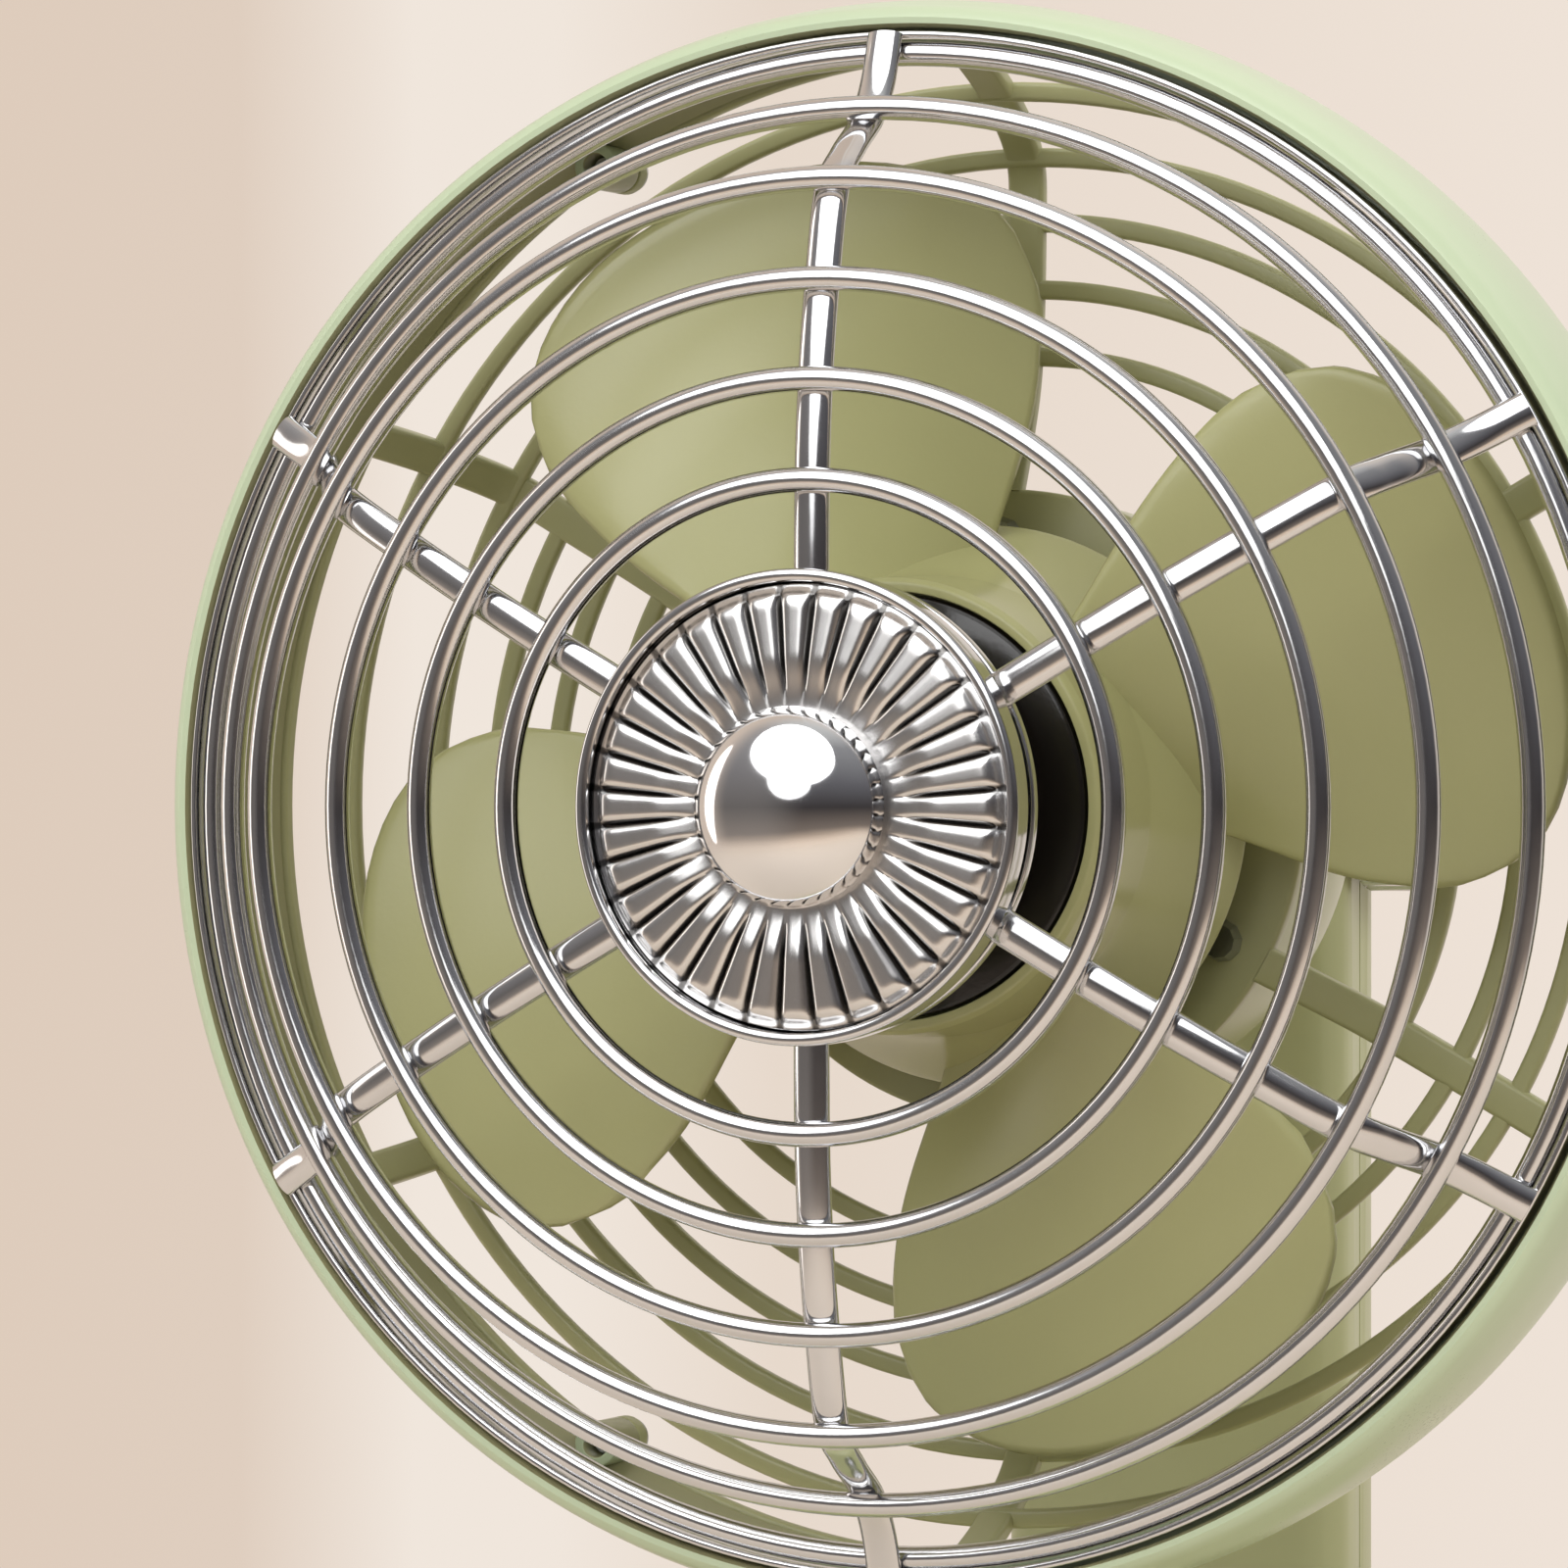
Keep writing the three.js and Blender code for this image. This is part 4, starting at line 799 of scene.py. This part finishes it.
# ---- Impeller ----
# Four broad blades and a flared hub are moulded together in glossy olive plastic. A black cap
# snaps into the front of the hub over the nut that holds it on the motor shaft.
TIP_RADIUS = HEAD_RADIUS - 15.6
HUB_FRONT, HUB_BACK, HUB_FLARE = -1.2, 30.0, 13.8
BLADE_COUNT, BLADE_HALF_ANGLE, BLADE_SET_ANGLE = 4, 31, 21
BLADE_HALF_THICKNESS, BLADE_HALF_CHORD, BLADE_REACH = 0.9, 31, 45


def moulded(name, shade, gloss=0.3, dapple=0.04):
    """Moulded plastic: an even colour with faint flow marks, a soft sheen and a very fine grain."""
    material, make, place = fresh_material(name)
    flow, grain = noise(make, place, 30, 2, 0.6), noise(make, place, 1400)
    tint = make.mixed(flow, scaled(shade, 1 - dapple), scaled(shade, 1 + dapple))
    coated(make, tint, gloss - 0.04 + 0.08 * flow, grain, 0.06)
    return material


blade_plastic = moulded("blade_plastic", colour(172, 170, 120), 0.24)


def hub_radius(depth):
    flare = min(1, max(0, (depth - HUB_FLARE) / (HUB_BACK - HUB_FLARE)))
    return 26.6 + 6.6 * flare ** 1.25


def blade_point(across, out):
    """Middle surface of a blade: across runs from -1 to 1 round the axis, out from hub to tip."""
    widen = 0.84 + 0.16 * math.sin(math.pi * min(1, out * 0.75))
    angle = math.radians(BLADE_HALF_ANGLE * across * widen)
    depth = 17 - 9.5 * across * (1 - 0.25 * out) + 2.5 * (across * across - 0.5) * out
    root = hub_radius(depth) - 0.9
    tip = TIP_RADIUS * (1 - 0.15 * abs(across) ** 3 - 0.10 * abs(across) ** 14)
    radius = root + (tip - root) * out
    return Vector((radius * math.cos(angle), depth, radius * math.sin(angle)))


def blade():
    """Both faces of a blade, drawn together at its edges and closed at its root."""
    fine = [0, 0.012, 0.03, 0.06, 0.11, 0.18]
    across_row = [i / 14 for i in range(-11, 12)]
    across_row = [*[-1 + x for x in fine], *across_row, *[1 - x for x in reversed(fine)]]
    out_row = sorted({*[i / 16 for i in range(15)], *[1 - x * 0.8 for x in fine]})
    points, faces, index = [], [], {}
    for side in (-1, 1):
        for i, across in enumerate(across_row):
            for j, out in enumerate(out_row):
                here = blade_point(across, out)
                step_a = blade_point(min(1, across + 0.01), out) - blade_point(max(-1, across - 0.01), out)
                step_o = blade_point(across, min(1, out + 0.01)) - blade_point(across, max(0, out - 0.01))
                normal = step_a.cross(step_o).normalized()
                thick = BLADE_HALF_THICKNESS
                for gap in ((1 - abs(across)) * BLADE_HALF_CHORD, (1 - out) * BLADE_REACH):
                    thick *= math.sqrt(1 - (1 - min(1, gap / BLADE_HALF_THICKNESS)) ** 2)
                index[side, i, j] = len(points)
                points.append((here + normal * side * thick) * MM)
    for i in range(len(across_row) - 1):
        for side in (-1, 1):
            for j in range(len(out_row) - 1):
                corners = (i, j), (i + 1, j), (i + 1, j + 1), (i, j + 1)
                faces.append([index[side, a, b] for a, b in corners])
        faces.append([index[-1, i, 0], index[-1, i + 1, 0], index[1, i + 1, 0], index[1, i, 0]])
    return points, faces


blades = repeated("impeller_blades", blade(), BLADE_COUNT, fan_middle, LYING, blade_plastic,
                  math.radians(BLADE_SET_ANGLE), crease=60)
settle(blades, "spinner", "green_blade", "impeller")
hub = [(24.5, HUB_FRONT, 0.2), (25.6, HUB_FRONT, 0.5), (26.1, 0, 0.8), (26.7, HUB_FLARE, 3)]
hub += [(hub_radius(depth), depth, 0) for depth in (16, 18, 20, 22, 24, 26, 28)]
hub += [(33.2, HUB_BACK, 0.4), (31.5, HUB_BACK, 0.4), (24.3, HUB_FLARE, 3), (24.3, 8.3, 0.8),
        (6.5, 8.3, 0.8), (6.5, 24, 0.4), (2.3, 24, 0.2), (2.3, 5.9, 0.2), (22.2, 5.9, 0.3),
        (22.2, 1.5, 0.2), (24.5, 1.5, 0.2)]
settle(part("impeller_hub", *turned(softened(hub, 0.3, 5)), blade_plastic),
       "spinner", "green_blade", "impeller")
black_gloss = moulded("black_gloss", colour(20, 17, 14), 0.18)
cap = [(0, -2.2, 0), (8, -2.1, 6), (20, -1.75, 4), (24.2, -1.2, 0.7), (24.2, 1.2, 0.2), (22.6, 1.2, 0.2),
       (22.6, 0, 0.2), (0, 0, 0)]
settle(part("hub_cap", *turned(softened(cap, 0.3, 5)), black_gloss), "spinner", "black_plastic", "hub_cap")

# ---- Motor pod ----
# A rounded green cup covers the motor behind the grille. A tongue moulded on its tail passes into
# the slot of the pillar, where the tilt pin runs through it between two steel washers.
POD_FRONT, POD_BACK, REACH = 39.5, 89.5, 105.0
POD_RADIUS, POD_WALL = 36.8, 2.2
TONGUE_HALF_HEIGHT, TONGUE_HALF_WIDTH, PIN_BORE = 8, 6.7, 3.3
# The stand's lacquer is a darker, warmer copy of the same sage paint as the head's: painted shade.
stand_lacquer = lacquer("stand_lacquer", colour(176, 177, 133), 0.3)


def pod_wall(radius, back, steps):
    """Half the outline of the cup, from its mouth to its tail, square-shouldered and round at the end."""
    wall = []
    for i in range(steps):
        share = math.sin(math.pi / 2 * i / steps)
        wall.append((radius * math.sqrt(1 - share ** 3.2), POD_FRONT + (back - POD_FRONT) * share))
    return [*wall, (0, back)]


pod_outline = [(35.0, POD_FRONT), (36.4, POD_FRONT), (POD_RADIUS, POD_FRONT + 0.4),
               *pod_wall(POD_RADIUS, POD_BACK, 30)[2:],
               *pod_wall(POD_RADIUS - POD_WALL, POD_BACK - POD_WALL, 16)[::-1]]
settle(part("pod_shell", *turned(pod_outline), stand_lacquer), "head", "green_shell", "motor_pod")


def across_tilt(along, up, side):
    """A point from the fan axis: along is depth behind the rim plane, up from the axis, side along X."""
    return Vector((side, RIM_PLANE + along, AXIS_HEIGHT + up)) * MM


tongue = [(POD_BACK - 5, -TONGUE_HALF_HEIGHT),
          *arc(TONGUE_HALF_HEIGHT, -math.pi / 2, math.pi / 2, 20, (REACH, 0)),
          (POD_BACK - 5, TONGUE_HALF_HEIGHT)]
bore = prism(full_circle(PIN_BORE, 32, (REACH, 0)), -20, 20, across_tilt)
settle(shaped("pod_tongue", prism(tongue, -TONGUE_HALF_WIDTH, TONGUE_HALF_WIDTH, across_tilt),
              [("DIFFERENCE", bore)], stand_lacquer, 0.7), "head", "green_shell", "motor_pod")

# ---- Pillar ----
# The stand is a green slab moulded as a front and a rear shell, which meet along a fine seam. Its
# top is rounded about the tilt axis and slotted for the tongue, and two screws from below hold it.
PILLAR_Y = RIM_PLANE + REACH
PILLAR_WIDTH, PILLAR_DEPTH, PILLAR_CORNER = 45, 18, 5
PILLAR_FOOT, SLOT_HALF_WIDTH, SEAM = 4.5, 8.3, 0.3


def above_base(x, y, z):
    return Vector((x, PILLAR_Y + y, z)) * MM


def from_the_side(y, z, x):
    return above_base(x, y, z)


def from_the_back(x, z, y):
    return above_base(x, y, z)


slab_section = rectangle(PILLAR_WIDTH, PILLAR_DEPTH, PILLAR_CORNER, 10)
slab = prism(slab_section, PILLAR_FOOT, AXIS_HEIGHT + 12, above_base)
crown = [(-PILLAR_DEPTH / 2, 0), (PILLAR_DEPTH / 2, 0),
         *arc(PILLAR_DEPTH / 2, 0, math.pi, 48, (0, AXIS_HEIGHT))]
slot = [(-SLOT_HALF_WIDTH, AXIS_HEIGHT - 16), (SLOT_HALF_WIDTH, AXIS_HEIGHT - 16),
        (SLOT_HALF_WIDTH, AXIS_HEIGHT + 20), (-SLOT_HALF_WIDTH, AXIS_HEIGHT + 20)]
pin_bore = full_circle(PIN_BORE, 40, (0, AXIS_HEIGHT))
for side, name in ((1, "pillar_front_shell"), (-1, "pillar_rear_shell")):
    other_half = [(-40, -SEAM / 2 * side), (40, -SEAM / 2 * side), (40, 30 * side), (-40, 30 * side)]
    cuts = [("INTERSECT", prism(crown, -30, 30, from_the_side)),
            ("DIFFERENCE", prism(slot, -20, 20, from_the_back)),
            ("DIFFERENCE", prism(pin_bore, -40, 40, from_the_side)),
            ("DIFFERENCE", prism(other_half, -5, AXIS_HEIGHT + 20, above_base))]
    settle(shaped(name, slab, cuts, stand_lacquer, 0.45), "stand", "green_shell", name)

# ---- Tilt pin and knob ----
# A steel pin with a hexagon socket crosses the pillar. The chrome knob on its end is fluted for
# grip, and tightens the pillar on the tongue to hold the head at its angle.


def on_tilt(radius, along, turn):
    """A point about the tilt axis; along is to the fan's left side, which is +X."""
    return Vector((along, PILLAR_Y + radius * math.sin(turn), AXIS_HEIGHT + radius * math.cos(turn))) * MM


pin = softened([(0, -25.4), (5.6, -25.4, 0.7), (5.6, -22.8, 0.3), (3, -22.8), (3, 30.5, 0.4),
                (0, 30.5)], 0.1)
hex_socket = prism(full_circle(2.4, 6, (0, AXIS_HEIGHT)), -26, -23.9, from_the_side)
settle(shaped("tilt_pin", turned(pin, on_tilt, 48), [("DIFFERENCE", hex_socket)], zinc, 0),
       "stand", "zinc_steel", "tilt_pin")


def grip(entry, share):
    """A finger flute in the side of a knob, deepest at the middle of its slice."""
    radius, depth, fluted = entry
    return (radius - 0.75 * (0.5 + 0.5 * math.cos(math.pi * share)) ** 1.5 if fluted else radius), depth


GRIP_COUNT = 24
knob_outline = softened([
    (3.3, 22.8), (9.2, 22.8, 0.4), (11, 24.2, 0.8), (11, 26), (11, 28), (11, 30), (11, 31.4, 1),
    (9.5, 33, 1.2), (5, 33.4, 2), (0.6, 33.5), (0.6, 31), (3.3, 31)], 0.2)
knob_loop = [(radius, along, 9.6 < radius and 24 < along < 32) for radius, along in knob_outline]
tilt_centre = Vector((0, PILLAR_Y, AXIS_HEIGHT)) * MM
tilt_knob = repeated("tilt_knob", wedge(knob_loop, GRIP_COUNT, 8, grip), GRIP_COUNT, tilt_centre,
                     SIDEWAYS, chrome, crease=40)
settle(tilt_knob, "tilt_lock", "chrome_plate", "tilt_knob")
knob_eye = softened([(0, 31.6), (1.8, 31.6), (1.8, 33.5, 0.3), (1.2, 33.9, 0.4), (0, 33.95)], 0.1)
settle(part("tilt_knob_eye", *turned(knob_eye, on_tilt, 40), zinc),
       "tilt_lock", "chrome_plate", "tilt_knob")

# ---- Base ----
# A round green cover with a wide rounded shoulder hides the ballast, the switch and the circuit
# board. A steel floor plate closes it, and a rubber pad with fine grooves keeps it from sliding.
BASE_RADIUS, BASE_TOP, SHOULDER_RADIUS, BASE_WALL = 74, 25, 13, 2.4
HOLE_CLEARANCE = 0.3
GROOVE_PITCH = 2.2


def on_base(radius, height, turn):
    return Vector((radius * math.sin(turn), -radius * math.cos(turn), height)) * MM


def base_arc(inset):
    middle = BASE_RADIUS - SHOULDER_RADIUS, BASE_TOP - SHOULDER_RADIUS
    return arc(SHOULDER_RADIUS - inset, math.pi / 2, 0, 20, middle)


cover = [(0, BASE_TOP), *base_arc(0), (BASE_RADIUS, 3.2), (BASE_RADIUS - 0.2, 2.75),
         (BASE_RADIUS - 0.6, 2.6), (BASE_RADIUS - BASE_WALL, 2.6), *base_arc(BASE_WALL)[::-1],
         (0, BASE_TOP - BASE_WALL)]
pillar_hole = rectangle(PILLAR_WIDTH + 2 * HOLE_CLEARANCE, PILLAR_DEPTH + 2 * HOLE_CLEARANCE,
                        PILLAR_CORNER + HOLE_CLEARANCE, 10)
socket_low, socket_high = [corner[2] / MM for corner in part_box("power_socket")]
SOCKET_WIDTH, SOCKET_HEIGHT = 12, socket_high - socket_low


def on_socket(x, z, y):
    return Vector((x, y, (socket_low + socket_high) / 2 + z)) * MM


socket_hole = rectangle(SOCKET_WIDTH + 2 * HOLE_CLEARANCE, SOCKET_HEIGHT + 2 * HOLE_CLEARANCE, 1.6, 6)
settle(shaped("base_cover", turned(cover, on_base, 160), [
    ("DIFFERENCE", prism(pillar_hole, 15, 30, above_base)),
    ("DIFFERENCE", prism(socket_hole, 58, 90, on_socket))], stand_lacquer, 0.35),
       "stand", "green_shell", "base_shell")


def rubbery(name, shade):
    """Moulded rubber: dull and near black, with a pebbled grain and a trace of dust."""
    material, make, place = fresh_material(name)
    pebble = make.node("ShaderNodeTexVoronoi", sockets={"Vector": place, "Scale": 1500})
    dust = noise(make, place, 60, 4)
    coated(make, make.mixed(dust, shade, scaled(shade, 1.8)), 0.72 + 0.15 * dust, pebble, 0.25, 0.0003)
    return material


rubber = rubbery("rubber", colour(34, 33, 32))
pad = [(0, 2, 0), (66, 2, 0.3), (66, 0.3, 0.3), (65.4, 0, 0.2), (62, 0, 0.2)]
for i in range(7):
    groove = 61.6 - GROOVE_PITCH * i
    pad += [(groove, 0.6, 0.1), (groove - 0.8, 0.6, 0.1), (groove - 1.2, 0, 0.1), (groove - 1.6, 0, 0.1)]
pad += [(40, 0, 0), (0, 0, 0)]
settle(part("foot_pad", *turned(softened(pad, 0.1, 2), on_base), rubber),
       "stand", "foot_rubber", "foot_pad")

# The socket is a black moulding with an oval port, and a thin contact tongue inside it.
socket_body = prism(rectangle(SOCKET_WIDTH, SOCKET_HEIGHT, 1.4, 6), 60.3, 73.6, on_socket)
port = prism(rectangle(9, 3.3, 1.6, 8), 67, 75, on_socket)
settle(shaped("power_socket", socket_body, [("DIFFERENCE", port)], black_gloss, 0.3),
       "stand", "black_plastic", "power_socket")
settle(part("socket_tongue", *prism(rectangle(6.6, 0.7, 0.3, 3), 66.8, 72, on_socket), zinc),
       "stand", "black_plastic", "power_socket")

# ---- Speed control ----
# A fluted chrome knob turns on a thin plated dial with seven engraved marks. A small milky lamp
# beside it lights while the fan runs. The switch hangs under the cover on its nut.
KNOB_Y = -44
MARK_COUNT, MARK_STEP, MARK_RADIUS = 7, 22.5, 14.1
SPEED_GRIP_COUNT = 36
knob_centre = Vector((0, KNOB_Y, 0)) * MM


def on_knob(radius, height, turn):
    return Vector((radius * math.sin(turn), KNOB_Y - radius * math.cos(turn), height)) * MM


dial = softened([(9, 25.1), (16, 25.1, 0.15), (15.7, 26, 0.3), (9, 26, 0.1)], 0.1)
settle(part("dial_ring", *turned(dial, on_knob), plating("dial_plate", (0.72, 0.72, 0.73, 1), 0.16)),
       "stand", "chrome_plate", "dial_ring")
mark = prism(rectangle(0.5, 1.7, 0.2, 3), 25.95, 26.03, lambda x, z, y: facing_back(x, MARK_RADIUS + z, y))
marks = repeated("dial_marks", mark, MARK_COUNT, knob_centre, STANDING, black_gloss,
                 math.radians(5 * MARK_STEP), math.radians(MARK_STEP))
settle(marks, "stand", "black_plastic", "dial_ring")
speed_outline = softened([
    (0.6, 30), (6.4, 30), (6.4, 26.6), (11.2, 26.6, 0.3), (12, 27, 0.3), (12, 28, 0.3),
    (11.8, 28.6, 0.2), (11.7, 30), (11.5, 32), (11.3, 34), (11, 36.2, 0.8), (9.8, 37.5, 1),
    (8.6, 37.3, 0.6), (0.6, 37.1)], 0.1)
speed_loop = [(radius, height, 10.6 < radius and 28.2 < height < 36) for radius, height in speed_outline]
speed_knob = repeated("speed_knob", wedge(speed_loop, SPEED_GRIP_COUNT, 8, grip), SPEED_GRIP_COUNT,
                      knob_centre, STANDING, chrome, crease=40)
settle(speed_knob, "speed_control", "chrome_plate", "speed_knob")
knob_plug = softened([(0, 36), (7.4, 36), (7.4, 37.35, 0.3), (0, 37.5)], 0.2)
settle(part("speed_knob_inlay", *turned(knob_plug, on_knob, 96), stand_lacquer),
       "speed_control", "green_shell", "speed_knob")
pointer = [(x, KNOB_Y - 4.6 + y) for x, y in rectangle(0.9, 4.2, 0.4, 4)]
settle(part("speed_knob_pointer", *prism(pointer, 37.3, 37.56, lambda x, y, z: facing_back(x, z, y)),
            black_gloss), "speed_control", "black_plastic", "speed_knob")


def milky(name, shade):
    """Milky lens: soft and pale, with a faint cloud in the moulding."""
    material, make, place = fresh_material(name)
    cloud = noise(make, place, 400)
    warmer = (shade[0], shade[1] * 0.96, shade[2] * 0.88, 1)
    coated(make, make.mixed(cloud, warmer, shade), 0.16 + 0.1 * cloud, Subsurface_Weight=0.2)
    return material


LENS_RADIUS, LENS_SEAT, LENS_RISE = 2.2, 25.15, 0.75
lamp_x = (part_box("indicator_lamp")[0][0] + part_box("indicator_lamp")[1][0]) / 2 / MM


def on_lamp(radius, height, turn):
    return on_knob(radius, height, turn) + Vector((lamp_x, 0, 0)) * MM


lens = [(0, 20.7), (3.2, 20.7), (3.2, 22.5), (LENS_RADIUS, 22.5), (LENS_RADIUS, 25.1)]
lens += [(LENS_RADIUS * across, LENS_SEAT + LENS_RISE * up)
         for across, up in arc(1, 0, math.pi / 2, 10)[1:-1]]
lens.append((0, LENS_SEAT + LENS_RISE))
settle(part("indicator_lamp", *turned(lens, on_lamp, 48), milky("lamp_lens", colour(240, 236, 224))),
       "stand", "lamp", "indicator_lamp")

# ---- Motor, ballast and fixings inside ----
# These plain turned and pressed parts are hidden in use and keep their engineering shape: plated
# steel fixings, a cast-iron ballast, a laminated stator with copper windings and a circuit board.


def cast_iron(name):
    """Sand-cast iron: dark, rough and pitted."""
    material, make, place = fresh_material(name)
    sand = noise(make, place, 420, 5)
    metal = make.mixed(sand, (0.05, 0.05, 0.055, 1), (0.12, 0.115, 0.11, 1))
    coated(make, metal, 0.55 + 0.25 * sand, sand, 0.4, 0.0004, Metallic=0.7)
    return material


def winding(name):
    """Enamelled copper wire wound round the axis: fine bright turns with dark lines between."""
    material, make, place = fresh_material(name)
    turns = make.node("ShaderNodeTexWave", {"bands_direction": "Y"}, {
        "Vector": place, "Scale": 420, "Distortion": 0.4})
    copper = make.mixed(turns, (0.14, 0.04, 0.015, 1), (0.62, 0.22, 0.08, 1))
    coated(make, copper, 0.3 + 0.15 * turns, turns, 0.5, 0.0003, Metallic=0.9)
    return material


def circuit(name):
    """Green solder mask over faint copper tracks."""
    material, make, place = fresh_material(name)
    tracks = make.node("ShaderNodeTexBrick", {"offset": 0.5}, {
        "Vector": place, "Scale": 260, "Mortar Size": 0.03, "Color1": (0.02, 0.12, 0.05, 1),
        "Color2": (0.03, 0.16, 0.07, 1), "Mortar": (0.10, 0.28, 0.12, 1)})
    coated(make, tracks, 0.3 + 0.15 * noise(make, place, 300))
    return material


kept_nodes = {
    "badge_nut": zinc, "impeller_nut": zinc, "motor_shaft": zinc, "motor_front_bracket": zinc,
    "motor_rear_bracket": zinc, "front_bearing": zinc, "rear_bearing": zinc, "friction_washer_left": zinc,
    "friction_washer_right": zinc, "base_floor": zinc, "switch_nut": zinc, "speed_shaft": zinc,
    "speed_switch": black_gloss, "ballast": cast_iron("cast_iron"), "rotor": cast_iron("rotor_iron"),
    "stator": winding("copper_winding"), "circuit_board": circuit("circuit_board")}
for name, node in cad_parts.items():
    if not node.hide_render:
        node.data.materials.clear()
        node.data.materials.append(kept_nodes.get(name, zinc))
